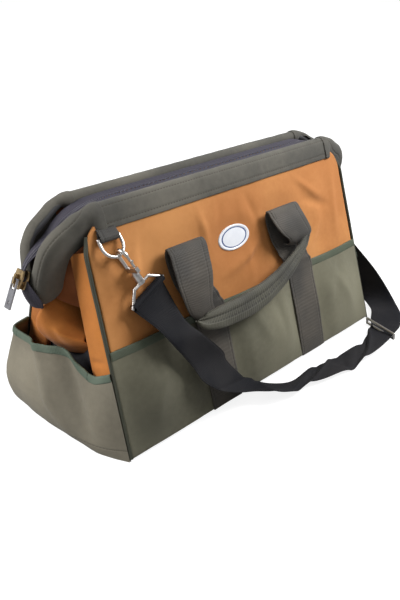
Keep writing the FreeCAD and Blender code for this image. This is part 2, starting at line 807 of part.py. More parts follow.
fold_shares = [(0.0, 0.25, 0.0), (0.3, 0.62, 0.12), (0.62, 0.8, 0.45), (1.0, 0.8, 0.95)]


def gusset_fold(end):
    """Tongue of canvas that bulges out under the hinge into the end pocket."""
    sections = []
    for down, half_share, inset in fold_shares:
        z = fold_top + (fold_foot - fold_top) * down
        half = fold_half * half_share
        x = pin_reach - fold_draw * inset
        outer = [V(end * (x - fold_draw * deep), half * y, z) for y, deep in fold_ridge_shares]
        inner = [V(end * (x - fold_draw * deep - fold_thickness), half * y, z) for y, deep in fold_ridge_shares[::-1]]
        sections.append(outer + inner)
    return lofted(sections)


def organizer_pockets():
    """Row of open-topped inside pockets, drawn upright on a wall."""
    pitch = organizer_length / organizer_count
    pieces = []
    for index in range(organizer_count):
        x0 = -organizer_length / 2 + index * pitch + fit_gap / 2
        x1 = x0 + pitch - fit_gap
        front = wall_thickness + organizer_depth
        outer = face_of([V(x0, wall_thickness, 0), V(x1, wall_thickness, 0),
                         V(x1 - organizer_gusset, front, 0), V(x0 + organizer_gusset, front, 0)])
        wall = organizer_cloth
        inner = face_of([V(x0 + 2 * wall, 0, 0), V(x1 - 2 * wall, 0, 0), V(x1 - 2 * wall, wall_thickness, 0),
                         V(x1 - organizer_gusset - wall, front - wall, 0),
                         V(x0 + organizer_gusset + wall, front - wall, 0), V(x0 + 2 * wall, wall_thickness, 0)])
        block = moved(outer.extrude(V(0, 0, organizer_height)), 0, 0, organizer_foot)
        hollow = moved(inner.extrude(V(0, 0, organizer_height)), 0, 0, organizer_foot + wall)
        pieces.append(block.cut(hollow))
    return Part.makeCompound(pieces)


# Edge points of the shoulder strap as shares of half the bag's length, half
# its depth and the height of the mouth, from the front clip to the back clip.
# Each row holds the low or near edge, then the high or far edge.
strap_shares = [
    ((-0.775, -0.83, 0.575), (-0.565, -0.77, 0.555)),
    ((-0.735, -0.84, 0.52), (-0.56, -0.82, 0.51)),
    ((-0.69, -0.93, 0.45), (-0.487, -0.95, 0.425)),
    ((-0.588, -0.985, 0.31), (-0.37, -0.98, 0.305)),
    ((-0.555, -1.10, 0.235), (-0.345, -0.99, 0.245)),
    ((-0.457, -1.19, 0.165), (-0.257, -1.02, 0.145)),
    ((-0.34, -1.20, 0.107), (-0.155, -1.0, 0.071)),
    ((-0.235, -1.24, 0.075), (-0.085, -1.03, 0.016)),
    ((-0.13, -1.44, 0.067), (0.052, -1.24, 0.006)),
    ((0.075, -1.47, 0.03), (0.26, -1.22, 0.012)),
    ((0.22, -1.55, 0.03), (0.40, -1.26, 0.008)),
    ((0.40, -1.60, 0.034), (0.556, -1.31, 0.008)),
    ((0.60, -1.62, 0.03), (0.72, -1.28, 0.012)),
    ((0.86, -1.56, 0.028), (0.92, -1.12, 0.024)),
    ((1.08, -1.42, 0.034), (1.04, -1.0, 0.03)),
    ((1.215, -1.14, 0.055), (1.125, -0.83, 0.02)),
    ((1.245, -0.77, 0.19), (1.205, -0.52, 0.045)),
    ((1.245, -0.37, 0.315), (1.235, -0.11, 0.165)),
    ((1.24, 0.05, 0.44), (1.23, 0.35, 0.30)),
    ((1.22, 0.37, 0.56), (1.165, 0.66, 0.44)),
    ((1.16, 0.60, 0.655), (1.03, 0.75, 0.53)),
]
strap_front_rows = 3
strap_back_rows = 2


def strap_point(shares):
    """A point of the strap's edge from its shares."""
    x, y, z = shares
    return V(half_length * x, half_depth * y, tube_z * z)


def ring_bar_ends(clip_lean, back):
    """Both ends of a strap ring's lower bar, where the strap is folded over it."""
    half = strap_width / 2
    z = strap_ring_bar_z()
    ends = []
    for side in (-1, 1):
        vertex = Part.Vertex(side * half, 0, z)
        placed = clipped(vertex, clip_lean)
        placed = on_back(placed) if back else on_front(placed)
        ends.append(placed.Point)
    return ends


def strap_rows():
    """All stations of the shoulder strap, joined to both rings."""
    rows = [(strap_point(a), strap_point(b)) for a, b in strap_shares]
    drop = V(0, 0, -ring_wire)
    front_left, front_right = ring_bar_ends(left_clip_lean, False)
    back_left, back_right = ring_bar_ends(right_clip_lean, True)
    first = (front_left + drop, front_right + drop)
    last = (back_left + drop, back_right + drop)
    return [first] + rows[1:] + [last]


def strap_lengths():
    """The strap in three lengths: front, along the floor, and back."""
    sections = band_sections(strap_rows(), strap_thickness)
    first = strap_front_rows
    last = len(sections) - strap_back_rows
    return lofted(sections[:first + 1]), lofted(sections[first:last + 1]), lofted(sections[last:])


def strap_adjuster():
    """Wire loop that the strap runs through, near the right end of the floor run."""
    rows = strap_rows()
    row = round(adjuster_share * len(rows))
    a, b = rows[row]
    before = (rows[row - 1][0] + rows[row - 1][1]) * 0.5
    after = (rows[row + 1][0] + rows[row + 1][1]) * 0.5
    middle = (a + b) * 0.5
    across = (b - a).normalize()
    along = (after - before).normalize()
    lift = along.cross(across).normalize()
    radius = ring_wire / 2
    half_wide = strap_width / 2 + radius + fit_gap * 3
    half_high = strap_thickness / 2 + radius + fit_gap * 3
    corners = [middle + across * (half_wide * i) + lift * (half_high * j)
               for i, j in ((-1, -1), (1, -1), (1, 1), (-1, 1))]
    bars = [rod(corners[i], corners[(i + 1) % 4], radius) for i in range(4)]
    balls = [Part.makeSphere(radius, corner) for corner in corners]
    return bars[0].multiFuse(bars[1:] + balls).removeSplitter()


def build():
    """Every node of the bag and its solid."""
    nodes = {}
    nodes["base_panel"] = base_plate()
    nodes["base_board"] = base_board()
    for end, name in ((-1, "left"), (1, "right")):
        nodes[name + "_end_panel"] = end_panel(end)
        nodes[name + "_end_pocket"] = end_pocket(end)
        nodes[name + "_end_pocket_hem"] = end_pocket_hem(end)
        nodes[name + "_gusset_fold"] = gusset_fold(end)
    for place, name in ((on_front, "front"), (on_back, "back")):
        side = -1 if name == "front" else 1
        nodes[name + "_panel"] = place(wall_panel())
        nodes[name + "_pocket"] = place(wall_pocket())
        nodes[name + "_pocket_hem"] = place(wall_pocket_hem())
        nodes[name + "_pipings"] = place(wall_pipings())
        nodes[name + "_organizer_pockets"] = place(organizer_pockets())
        nodes[name + "_gusset_leaves"] = place(Part.makeCompound([gusset_leaf(-1), gusset_leaf(1)]))
        nodes[name + "_left_web"] = place(web_strap(left_web_place, left_loop_place))
        nodes[name + "_right_web"] = place(web_strap(right_web_place, right_loop_place))
        nodes[name + "_handle"] = place(carry_handle())
        nodes[name + "_sleeve"] = place(long_sleeve())
        nodes[name + "_arm_sleeves"] = arm_sleeves(side)
        nodes[name + "_frame_tube"] = frame_tube(side, front_tip_reach if side < 0 else back_tip_reach)
        nodes[name + "_zipper_tape"] = zipper_tapes(side)
        nodes[name + "_zipper_teeth"] = zipper_teeth(side)
    nodes["hinge_rivet_heads"] = rivet_halves(True)
    nodes["hinge_rivet_tails"] = rivet_halves(False)
    nodes["badge"] = on_front(badge())
    for name, place, clip_lean in (("left", on_front, left_clip_lean), ("right", on_back, right_clip_lean)):
        nodes[name + "_ring_tab"] = place(ring_tab())
        nodes[name + "_d_ring"] = place(d_ring())
        nodes[name + "_snap_hook"] = place(snap_hook(clip_lean))
        nodes[name + "_hook_gate"] = place(hook_gate(clip_lean))
        nodes[name + "_strap_ring"] = place(strap_ring(clip_lean))
    nodes["zipper_slider"] = zipper_slider()
    nodes["zipper_pull"] = zipper_pull()
    front, floor, back = strap_lengths()
    nodes["strap_front"] = front
    nodes["strap_floor"] = floor
    nodes["strap_back"] = back
    nodes["strap_adjuster"] = strap_adjuster()
    return nodes


def main():
    """Write one file for each node."""
    os.makedirs("parts", exist_ok=True)
    for name, shape in build().items():
        shape.exportStep(os.path.join("parts", name + ".step"))
        box = shape.BoundBox
        print(name, round(shape.Volume / 1000, 2), "cm3", len(shape.Solids), "solids", shape.isValid(),
              [round(v) for v in (box.XMin, box.XMax, box.YMin, box.YMax, box.ZMin, box.ZMax)])


main()
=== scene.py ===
"""Tool organizer bag: canvas walls on a riveted mouth frame, dressed over its solids."""
from math import copysign, cos, exp, hypot, pi, radians, sin, sqrt
import bmesh
import bpy
from mathutils import Matrix, Vector, noise


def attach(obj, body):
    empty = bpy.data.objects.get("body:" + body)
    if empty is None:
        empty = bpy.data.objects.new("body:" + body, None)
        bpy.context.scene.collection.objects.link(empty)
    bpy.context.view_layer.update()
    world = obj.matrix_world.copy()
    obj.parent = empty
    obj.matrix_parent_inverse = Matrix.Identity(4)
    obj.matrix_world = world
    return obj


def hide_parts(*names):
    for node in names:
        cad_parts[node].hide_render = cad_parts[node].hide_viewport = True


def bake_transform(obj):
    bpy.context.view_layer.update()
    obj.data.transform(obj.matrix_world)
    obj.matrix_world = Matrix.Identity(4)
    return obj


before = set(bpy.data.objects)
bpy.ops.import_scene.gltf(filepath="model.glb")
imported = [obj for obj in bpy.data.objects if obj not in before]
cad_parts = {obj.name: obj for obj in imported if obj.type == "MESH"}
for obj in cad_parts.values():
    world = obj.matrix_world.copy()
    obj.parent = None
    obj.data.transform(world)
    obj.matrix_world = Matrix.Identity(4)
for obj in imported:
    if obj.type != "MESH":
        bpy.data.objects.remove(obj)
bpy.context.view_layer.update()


# The studio: a white floor that runs out of sight and three soft lamps.
# The floor glows a little for the camera alone, so it reads as white and keeps the shadow.
class Level:
    """A number that changes over a surface, so that shader maths reads as arithmetic."""

    def __init__(self, finish, socket):
        self.finish = finish
        self.socket = socket

    def operator(operation, swapped=False):
        """An operator that adds one maths node, with its two values swapped where asked."""
        def work(self, other=0):
            first, second = (other, self) if swapped else (self, other)
            return self.finish.add("Math", {0: first, 1: second}, operation=operation)
        return work

    __add__ = operator("ADD")
    __sub__ = operator("SUBTRACT")
    __rsub__ = operator("SUBTRACT", True)
    __mul__ = operator("MULTIPLY")
    __gt__ = operator("GREATER_THAN")
    __lt__ = operator("LESS_THAN")
    __abs__ = operator("ABSOLUTE")


class Finish:
    """A material being put together from nodes."""

    def __init__(self, name, roughness=0.85, metallic=0):
        self.material = bpy.data.materials.new(name)
        self.material.use_nodes = True
        self.tree = self.material.node_tree
        self.shader = self.tree.nodes["Principled BSDF"]
        self.fix("Roughness", roughness)
        self.fix("Metallic", metallic)

    def fix(self, socket, value):
        """Give one of the shader's own sockets a constant value."""
        self.shader.inputs[socket].default_value = value

    def add(self, kind, values, output=0, **settings):
        """Add a node, set it up, plug in its values, and give back one of its outputs."""
        node = self.tree.nodes.new("ShaderNode" + kind)
        for key, value in settings.items():
            setattr(node, key, value)
        for key, value in values.items():
            if isinstance(value, Level):
                self.tree.links.new(value.socket, node.inputs[key])
            else:
                node.inputs[key].default_value = value
        return Level(self, node.outputs[output])

    def wear(self, socket, value):
        """Give one of the shader's own sockets a value that changes over the surface."""
        self.tree.links.new(value.socket, self.shader.inputs[socket])

    def place(self):
        return self.add("TexCoord", {}, "Object")

    def along(self, output):
        """One direction of the piece's own map, in metres along the cloth."""
        flat = self.add("TexCoord", {}, "UV")
        return self.add("SeparateXYZ", {0: flat}, output)

    def cloud(self, scale, detail=3):
        return self.add("TexNoise", {"Vector": self.place(), "Scale": scale, "Detail": detail})

    def blend(self, share, first, second):
        """Mix two colours by a share."""
        return self.add("Mix", {0: share, 6: first, 7: second}, 2, data_type="RGBA")

    def soft_step(self, value, low, high, base=0):
        """A smooth climb from a base to 1 between two values."""
        values = {"Value": value, "From Min": low, "From Max": high, "To Min": base}
        return self.add("MapRange", values, interpolation_type="SMOOTHSTEP")

    def wave(self, value, pitch):
        """Ridges across a direction, from 0 to 1."""
        turn = value * (2 * pi / pitch)
        return self.add("Math", {0: turn}, operation="SINE") * 0.5 + 0.5

    def raise_by(self, height, distance, strength=1):
        values = {"Height": height, "Distance": distance, "Strength": strength}
        self.wear("Normal", self.add("Bump", values))


def placed(name, drawn, material):
    """Turn drawn faces into a smooth piece of the scene with one material."""
    for face in drawn.faces:
        face.smooth = True
    data = bpy.data.meshes.new(name)
    drawn.to_mesh(data)
    drawn.free()
    data.materials.append(material)
    piece = bpy.data.objects.new(name, data)
    scene.collection.objects.link(piece)
    return piece


scene = bpy.context.scene
scene.view_settings.view_transform = "Standard"
world = bpy.data.worlds.new("studio")
world.use_nodes = True
sky = world.node_tree
fill = sky.nodes["Background"]
backdrop = sky.nodes.new("ShaderNodeBackground")
for light in (fill, backdrop):
    light.inputs["Color"].default_value = (1, 1, 1, 1)
fill.inputs["Strength"].default_value = 0.3
light_path = sky.nodes.new("ShaderNodeLightPath")
choose = sky.nodes.new("ShaderNodeMixShader")
sky.links.new(light_path.outputs["Is Camera Ray"], choose.inputs["Fac"])
sky.links.new(fill.outputs[0], choose.inputs[1])
sky.links.new(backdrop.outputs[0], choose.inputs[2])
sky.links.new(choose.outputs[0], sky.nodes["World Output"].inputs["Surface"])
scene.world = world

paper = Finish("white_paper", 0.9)
paper.fix("Base Color", (0.3, 0.3, 0.3, 1))
paper.fix("Specular IOR Level", 0)
from_middle = paper.add("VectorMath", {0: paper.place()}, "Value", operation="LENGTH")
paper.wear("Emission Color", paper.soft_step(from_middle, 0.2, 0.8, 0.86))
paper.wear("Emission Strength", paper.add("LightPath", {}, "Is Camera Ray"))
floor_face = bmesh.new()
bmesh.ops.create_grid(floor_face, x_segments=1, y_segments=1, size=6)
floor = placed("studio_floor", floor_face, paper.material)
floor.location = (0, 0, -0.0005)

for lamp_name, place, watts, span in (("key_lamp", (0.62, -0.48, 0.84), 14.5, 0.5),
                                      ("end_lamp", (-1.3, 0.45, 0.95), 25, 0.6),
                                      ("front_lamp", (0.3, -1.6, 2), 2.5, 0.8)):
    lamp_data = bpy.data.lights.new(lamp_name, "AREA")
    lamp_data.energy = watts
    lamp_data.size = span
    lamp = bpy.data.objects.new(lamp_name, lamp_data)
    lamp.location = place
    lamp.rotation_euler = (Vector((0, 0, 0.12)) - Vector(place)).to_track_quat("-Z", "Y").to_euler()
    scene.collection.objects.link(lamp)

camera_data = bpy.data.cameras.new("camera")
camera_data.lens = 40.84
camera_data.sensor_width = 36
camera_data.clip_end = 20
camera = bpy.data.objects.new("camera", camera_data)
aim = Vector((-0.00006, 0.01591, 0.06777))
azimuth = radians(-44.88)
elevation = radians(27.4)
level_run = cos(elevation)
away = Vector((sin(azimuth) * level_run, -cos(azimuth) * level_run, sin(elevation)))
camera.location = aim + away * 0.9256
camera.rotation_euler = (-away).to_track_quat("-Z", "Y").to_euler()
scene.collection.objects.link(camera)
scene.camera = camera


# Front and back walls: tan cotton duck over a stiff lining, cut in one piece a side.
# Each wall leans inward from the base, and its top corners are rounded under the sleeve.
def paint(*levels):
    """A colour from its red, green and blue levels on a screen."""
    return tuple(((level / 255 + 0.055) / 1.055) ** 2.4 for level in levels) + (1,)


def shade(colour, share):
    """A darker share of a colour."""
    return tuple(level * share for level in colour[:3]) + (1,)


# Rows of stitches: half width, reach of the groove, pitch, gap, cover, thread, depth of the groove.
fine_thread = (0.0005, 0.0022, 0.0042, 0.32, 0.7, paint(58, 50, 40), 1.1)
thick_thread = (0.0006, 0.002, 0.0045, 0.3, 0.55, paint(34, 32, 28), 1.2)


def sew(finish, thread, seams, beside, run, colour, height):
    """Rows of stitches at places beside a direction of the map, in dashes over a groove."""
    half, reach, pitch, gap, cover, thread_colour, depth = thread
    for seam in seams:
        off = abs(beside - seam)
        dashes = finish.wave(run, pitch) > gap
        colour = finish.blend((off < half) * dashes * cover, colour, thread_colour)
        height = height + finish.soft_step(off, 0, reach) * depth
    return colour, height


def duck_cloth(name, light, dark, seams_up=(), seams_across=()):
    """Plain woven cloth with soft clouds of colour and rows of stitches at places on its map."""
    finish = Finish(name)
    across, up = finish.along(0), finish.along(1)
    warp, weft = finish.wave(across, 0.0014), finish.wave(up, 0.0014)
    threads = warp * weft + (1 - warp) * (1 - weft)
    clouds = finish.soft_step(finish.cloud(7, 2) * 0.88 + finish.cloud(160, 2) * 0.12, 0.3, 0.7)
    colour = finish.blend(clouds, dark, light)
    colour = finish.blend(threads * 0.16, colour, shade(dark, 0.62))
    height = threads * 0.35 + clouds * 0.4
    colour, height = sew(finish, fine_thread, seams_up, across, up, colour, height)
    colour, height = sew(finish, fine_thread, seams_across, up, across, colour, height)
    finish.wear("Base Color", colour)
    finish.raise_by(height, 0.0005, 0.7)
    finish.fix("Sheen Weight", 0.06)
    finish.fix("Sheen Roughness", 0.5)
    return finish.material


tan_duck = duck_cloth("tan_duck", paint(203, 140, 78), paint(172, 108, 50))
lean = radians(16.972)
depth_slope = 0.3052
length_slope = 0.0364
half_depth = 109
wall_foot = 4.4
wall_rise = 261.5
corner_radius = 26
badge_x, badge_z = -12, 191.5
sides = {"front": -1, "back": 1}


def half_at(rise):
    """Half the length of a wall at a height up the wall, in millimetres."""
    return 225.6 - length_slope * rise


def on_wall(side, x, y, z):
    """A point drawn upright on a wall, leaned in and put on the front or the back."""
    out = half_depth - y * cos(lean) - z * sin(lean)
    return Vector((-sides[side] * x, sides[side] * out, z * cos(lean) - y * sin(lean)))


def rumple(point, size, seed=0):
    """Slow hollows and rises in cloth, about -1 to 1."""
    return noise.noise(Vector(point) / size + Vector((seed, seed * 0.7, seed * 1.3)))


def hump(off, width):
    """A soft rise, 1 in its middle, from the distance off the middle."""
    return exp(-(off / width) ** 2)


def clamp(value):
    return min(max(value, 0), 1)


def cloth(name, cells, size, shape, thickness, finish, closed=False, turned=False, rim=True):
    """A piece of cloth: a flat grid whose points shape() puts in place, with a thickness under it."""
    sheet = bmesh.new()
    sheet.loops.layers.uv.new("map")
    bmesh.ops.create_grid(sheet, x_segments=cells[0], y_segments=cells[1], size=0.5, calc_uvs=True)
    flat = sheet.loops.layers.uv.active
    for face in sheet.faces:
        for corner in face.loops:
            at = corner.vert.co
            corner[flat].uv = ((at.x + 0.5) * size[0] / 1000, (at.y + 0.5) * size[1] / 1000)
    for vertex in sheet.verts:
        u = vertex.co.x + 0.5
        vertex.co = shape(1 - u if turned else u, vertex.co.y + 0.5) / 1000
    if closed:
        bmesh.ops.remove_doubles(sheet, verts=sheet.verts, dist=0.00001)
        bmesh.ops.recalc_face_normals(sheet, faces=sheet.faces)
    piece = placed(name, sheet, finish)
    if thickness:
        walls = piece.modifiers.new("thickness", "SOLIDIFY")
        walls.thickness = thickness / 1000
        walls.offset = -1
        walls.use_rim = rim
    rounding = piece.modifiers.new("rounding", "SUBSURF")
    rounding.levels = 1
    rounding.render_levels = 1
    return piece


# Creases: x and z of both ends, half width and height.
wall_creases = (
    (-62, 246, -57, 196, 5, 2.6), (112, 240, 158, 204, 5, 2.4), (128, 206, 176, 186, 6, -2.2),
    (-150, 244, -178, 160, 6, 2.4), (-134, 220, -150, 140, 8, -2.6), (-204, 226, -196, 130, 6, 2),
    (30, 172, -40, 150, 7, 2.4), (20, 240, 34, 196, 6, -2.2), (196, 236, 186, 140, 7, 2.6),
    (150, 170, 120, 132, 7, 2.2), (-20, 244, -34, 216, 5, -1.8), (2, 152, 40, 176, 6, -2))
# Places where something lies on the wall and keeps it flat: x, z, half width, half height, share.
loop_spots = ((-100, 206, 36, 18, 0.95), (69, 206, 36, 18, 0.95), (-104, 168, 30, 18, 0.7),
              (70, 168, 30, 18, 0.7))
badge_spot = (badge_x, badge_z, 40, 24, 1)
clip_spots = ((-140, 183, 26, 18, 0.9), (-186, 163, 22, 18, 0.9))
calm_spots = {"front": (badge_spot,) + loop_spots + clip_spots,
              "back": loop_spots + ((-208, 164, 26, 18, 0.9),)}


def creased(creases, x, z):
    """Height of all the soft creases at a place."""
    height = 0
    for x0, z0, x1, z1, width, crease_rise in creases:
        run_x, run_z = x1 - x0, z1 - z0
        near = clamp(((x - x0) * run_x + (z - z0) * run_z) / (run_x ** 2 + run_z ** 2))
        off = hypot(x - x0 - run_x * near, z - z0 - run_z * near)
        height += 1.5 * crease_rise * hump(off, width) * (0.35 + 0.65 * sin(pi * near))
    return height


def wall_cloth(side):
    def shape(u, v):
        a = 2 * u - 1
        past = max(0, abs(a * half_at(wall_rise)) - (half_at(wall_rise) - corner_radius))
        top = wall_rise - 3 - (corner_radius - sqrt(corner_radius ** 2 - past ** 2))
        z = wall_foot + (top - wall_foot) * v
        x = a * (half_at(z) - 1.2)
        free = sin(pi * clamp((z - 118) / 130)) * (1 - abs(a) ** 6)
        fold = hump(x + 168 + (z - 180) * 0.16, 9) - hump(x + 146 + (z - 180) * 0.1, 11)
        crease = hump(x - 8, 7) - 0.8 * hump(x - 166 - (z - 190) * 0.3, 12)
        ripple = abs(rumple((x * 0.8 + z * 0.3, z * 0.5, 0), 34, 19))
        for place, height, wide, tall, share in calm_spots[side]:
            free *= 1 - share * hump(((x - place) / wide) ** 2 + ((z - height) / tall) ** 2, 1)
        swell = 1.6 + 3 * rumple((x, z * 0.7, 0), 46, 3) + 2.6 * ripple + 2 * fold + 1.6 * crease
        out = free * (swell + creased(wall_creases, x, z))
        return on_wall(side, x, -0.2 - max(out, -0.1), z)
    return cloth(side + "_wall_cloth", (130, 76), (448, 258), shape, 2.8, tan_duck)


for side in sides:
    piece = wall_cloth(side)
    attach(piece, side + "_wall")
    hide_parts(side + "_panel")


# Lower pockets: olive cloth sewn over the lower half of each wall, held down by the webbing.
# It bellies a little between its seams, and folded tape binds its top edge.
web_places = (-77, 95)
pocket_foot = 3.6
pocket_rise = 123.4


def hold(x, place, half, fade):
    """How far cloth is free at x, from 0 where it is sewn down to 1 well away."""
    return clamp((abs(x - place) - half) / fade)


def ease(share):
    """The same share with a soft start and end."""
    return share * share * (3 - 2 * share)


pocket_creases = (
    (-150, 110, -190, 30, 8, 2.4), (-170, 118, -130, 60, 7, -2.4), (-20, 118, 10, 50, 8, 2.2),
    (30, 112, 44, 30, 7, -2.2), (150, 112, 190, 40, 8, 2.4), (180, 116, 150, 56, 7, -2))


def pocket_stand(side, x, z):
    """How far the lower pocket stands off its wall, in millimetres."""
    share = clamp(z / pocket_rise)
    held = ease(min([hold(x, place, 22, 34) for place in web_places] + [hold(abs(x), 221, 0, 42)]))
    if share < 0.55:
        belly = 1 - (1 - share / 0.55) ** 2
    else:
        belly = 0.35 + 0.65 * (0.5 + 0.5 * cos(pi * (share - 0.55) / 0.45))
    ripple = rumple((x, z * 0.55, 0), 40, 7 if side == "front" else 11)
    pull = 1.4 * abs(rumple((x * 0.7 + z * 0.5, z * 0.3, 0), 30, 23)) + 0.6 * creased(pocket_creases, x, z)
    return 2 + held * (8.5 * belly + (2.2 * ripple + pull) * belly + 0.6)


olive_cloth = duck_cloth("olive_cloth", paint(118, 115, 95), paint(82, 80, 65))


def lower_pocket(side):
    def shape(u, v):
        z = pocket_foot + (pocket_rise - pocket_foot) * v
        x = (2 * u - 1) * (half_at(z) + 1.4)
        return on_wall(side, x, -pocket_stand(side, x, z), z)
    return cloth(side + "_lower_pocket", (110, 32), (450, 120), shape, 1.7, olive_cloth)


def bound_edge(name, line, across, length, cells, thickness, finish):
    """Folded tape over an edge: line(u) gives the edge point, its outward and its upward direction."""
    profile = ((0, -across), (0.7, -across * 0.9), (1, -across * 0.5), (0.95, -0.6), (0.3, 0.9),
               (-1.6, 1), (-2.6, -0.4), (-2.7, -across * 0.45))

    def shape(u, v):
        edge, out, up = line(u)
        at = v * (len(profile) - 1)
        low = min(int(at), len(profile) - 2)
        off, high = [a + (b - a) * (at - low) for a, b in zip(profile[low], profile[low + 1])]
        return edge + out * off + up * high
    return cloth(name, (cells, 14), (length, across * 2.2), shape, thickness, finish)


def tape(name, dark, light):
    finish = Finish(name, 0.8)
    ribs = finish.wave(finish.along(0) + finish.along(1) * 0.4, 0.0016)
    colour = finish.blend(finish.soft_step(finish.cloud(14), 0.35, 0.65), dark, light)
    finish.wear("Base Color", finish.blend(ribs * 0.25, colour, shade(dark, 0.5)))
    finish.raise_by(ribs, 0.0004, 0.6)
    return finish.material


bias_tape = tape("bias_tape", paint(84, 98, 84), paint(112, 124, 108))
wall_tape = tape("wall_pocket_tape", paint(70, 78, 62), paint(88, 94, 78))


def pocket_edge(side):
    def line(u):
        x = (2 * u - 1) * (half_at(pocket_rise) + 1.2)
        here = on_wall(side, x, -pocket_stand(side, x, pocket_rise), pocket_rise)
        out = on_wall(side, x, -1, 0) - on_wall(side, x, 0, 0)
        up = on_wall(side, x, 0, 1) - on_wall(side, x, 0, 0)
        return here, out, up
    return bound_edge(side + "_pocket_binding", line, 9, 440, 90, 0.5, wall_tape)


for side in sides:
    for piece, node in ((lower_pocket(side), "_pocket"), (pocket_edge(side), "_pocket_hem")):
        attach(piece, side + "_wall")
        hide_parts(side + node)


# Corner pipings: cord covered in folded tape, sewn into the wall's two upright seams.
end_names = {-1: "left", 1: "right"}
piping_radius = 2.3
piping_finish = Finish("piping_cover", 0.75)
twill = piping_finish.wave(piping_finish.along(1) + piping_finish.along(0) * 0.8, 0.0024)
piping_colour = piping_finish.blend(piping_finish.cloud(20), paint(46, 48, 38), paint(68, 69, 54))
piping_finish.wear("Base Color", piping_finish.blend(twill * 0.3, piping_colour, paint(38, 38, 30)))
piping_finish.raise_by(twill, 0.0005, 0.6)


def end_cloth(side, end, what, cells, size, shape, thickness, finish, closed=False):
    """A piece that each wall has at both ends, faced outward at each."""
    name = f"{side}_{end_names[end]}_{what}"
    turned = sides[side] * end < 0 and not closed
    return cloth(name, cells, size, shape, thickness, finish, closed, turned)


def piping(side, end):
    def path(v):
        z = 3 + 243 * v
        wobble = 0.4 * rumple((end * 40, z, 0), 22, 5)
        inward = 7 * max(v - 0.93, 0) / 0.07
        return on_wall(side, end * (half_at(z) + 1.9 - inward), 0.6 + wobble + inward * 0.4, z)

    def shape(u, v):
        forward = (path(min(v + 0.01, 1)) - path(max(v - 0.01, 0))).normalized()
        across = forward.cross(Vector((1, 0, 0))).normalized() * piping_radius
        up = across.cross(forward)
        angle = 2 * pi * u
        return path(v) + across * cos(angle) + up * sin(angle)
    return end_cloth(side, end, "piping", (12, 60), (piping_radius * 6.28, 240), shape, 0,
                     piping_finish.material, True)


for side in sides:
    for end in end_names:
        piece = piping(side, end)
        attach(piece, side + "_wall")
        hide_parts(side + "_pipings")


# Webbing straps: heavy ribbed webbing sewn up the pockets, then free, up and over in two loops a side.
# The handle hangs in the loops, so they stand off the wall.
def smooth_at(points, share):
    """A point on a smooth curve through the given points, share running from 0 to 1."""
    at = clamp(share) * (len(points) - 1)
    low = min(int(at), len(points) - 2)
    t = at - low
    a, b, c, d = [Vector(points[min(max(low + step, 0), len(points) - 1)]) for step in (-1, 0, 1, 2)]
    bend = (a * 2 - b * 5 + c * 4 - d) * t ** 2 + (b * 3 - a - c * 3 + d) * t ** 3
    return (b * 2 + (c - a) * t + bend) * 0.5


def webbing_finish(name, light, dark, seams, rib=0.0026, shine=0.4):
    """Ribbed webbing: ribs across its length, stitched lines and a slight shine on the ribs."""
    finish = Finish(name, 0.72)
    across, up = finish.along(0), finish.along(1)
    ribs = finish.wave(up, rib)
    warp = finish.wave(across, 0.0019)
    clouds = finish.soft_step(finish.cloud(16, 4), 0.3, 0.7)
    colour = finish.blend(clouds, dark, light)
    colour = finish.blend((1 - ribs * warp) * 0.2, colour, shade(dark, 0.5))
    colour, height = sew(finish, thick_thread, seams, across, up, colour, ribs * 0.6 + warp * 0.4)
    finish.wear("Base Color", colour)
    finish.raise_by(height, 0.0005, 0.5)
    finish.fix("Specular IOR Level", shine)
    finish.fix("Sheen Weight", 0.16 * shine)
    return finish.material


webbing = webbing_finish("handle_webbing", paint(83, 77, 69), paint(55, 53, 50), (0.004, 0.046))
webbing_width = 50
loop_places = (-100, 69)


def web_route(low, high):
    """Middle line of a webbing strap, from the base at low to the inside of its loop at high."""
    step = (high - low) / 90
    return [(low, -3, 2.6), (low, -4.2, 20), (low, -4.6, 60), (low, -4.4, 100), (low, -4.9, 122),
            (low + step * 24, -6.4, 135), (high - step * 28, -6.4, 156), (high - step * 5, -5.4, 178),
            (high, -4.8, 198.4), (high, -9, 206.8), (high, -14.4, 205.8), (high, -17, 197.4)]


def web_cloth(side, name, route):
    def shape(u, v):
        x, y, z = smooth_at(route, v)
        off = (u - 0.5) * webbing_width
        if z < 118:
            y = y - (pocket_stand(side, x + off, z) - 2.6) * 0.8
        curl = 0.7 * sin(z * 0.06 + x) * (u - 0.5) ** 2 * 4
        return on_wall(side, x + off, y + curl - 0.3, z)
    size = (webbing_width, 250)
    return cloth(f"{side}_{name}_webbing", (14, 90), size, shape, 1.8, webbing)


for side in sides:
    for name, web_place, loop_place in zip(("left", "right"), web_places, loop_places):
        piece = web_cloth(side, name, web_route(web_place, loop_place))
        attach(piece, side + "_wall")
        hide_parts(f"{side}_{name}_web")


# Carry handles: one length of the same webbing, folded lengthwise and sewn into a soft grip.
# Two flat legs hang from the loops, and the grip folds out of their lower ends.
# A leg's rows are x, y, z and half width. The grip's are x, y, z, half width, half thickness and turn.
left_leg = (
    (-100, -9.4, 208.8, 27), (-100, -13.4, 208.8, 27.5), (-100, -16.7, 205, 28), (-100.6, -19.6, 198.6, 28),
    (-102.4, -22.6, 185, 27.5), (-103.8, -24.8, 168, 26.5), (-103.8, -24.4, 154, 24),
    (-103, -22.4, 142, 21), (-99.6, -19.4, 131, 19), (-93, -16.4, 122, 17))
right_leg = (
    (69, -9.4, 208.8, 27.5), (69.2, -13.4, 208.8, 28.5), (69.6, -16.7, 205.4, 29), (70.2, -19.2, 199, 29),
    (73, -22.4, 188, 28.5), (78.6, -23.8, 177, 27.5), (84.8, -23.4, 168, 24), (88, -19, 161, 21),
    (86, -12.5, 158, 18), (82, -7.5, 161, 16))
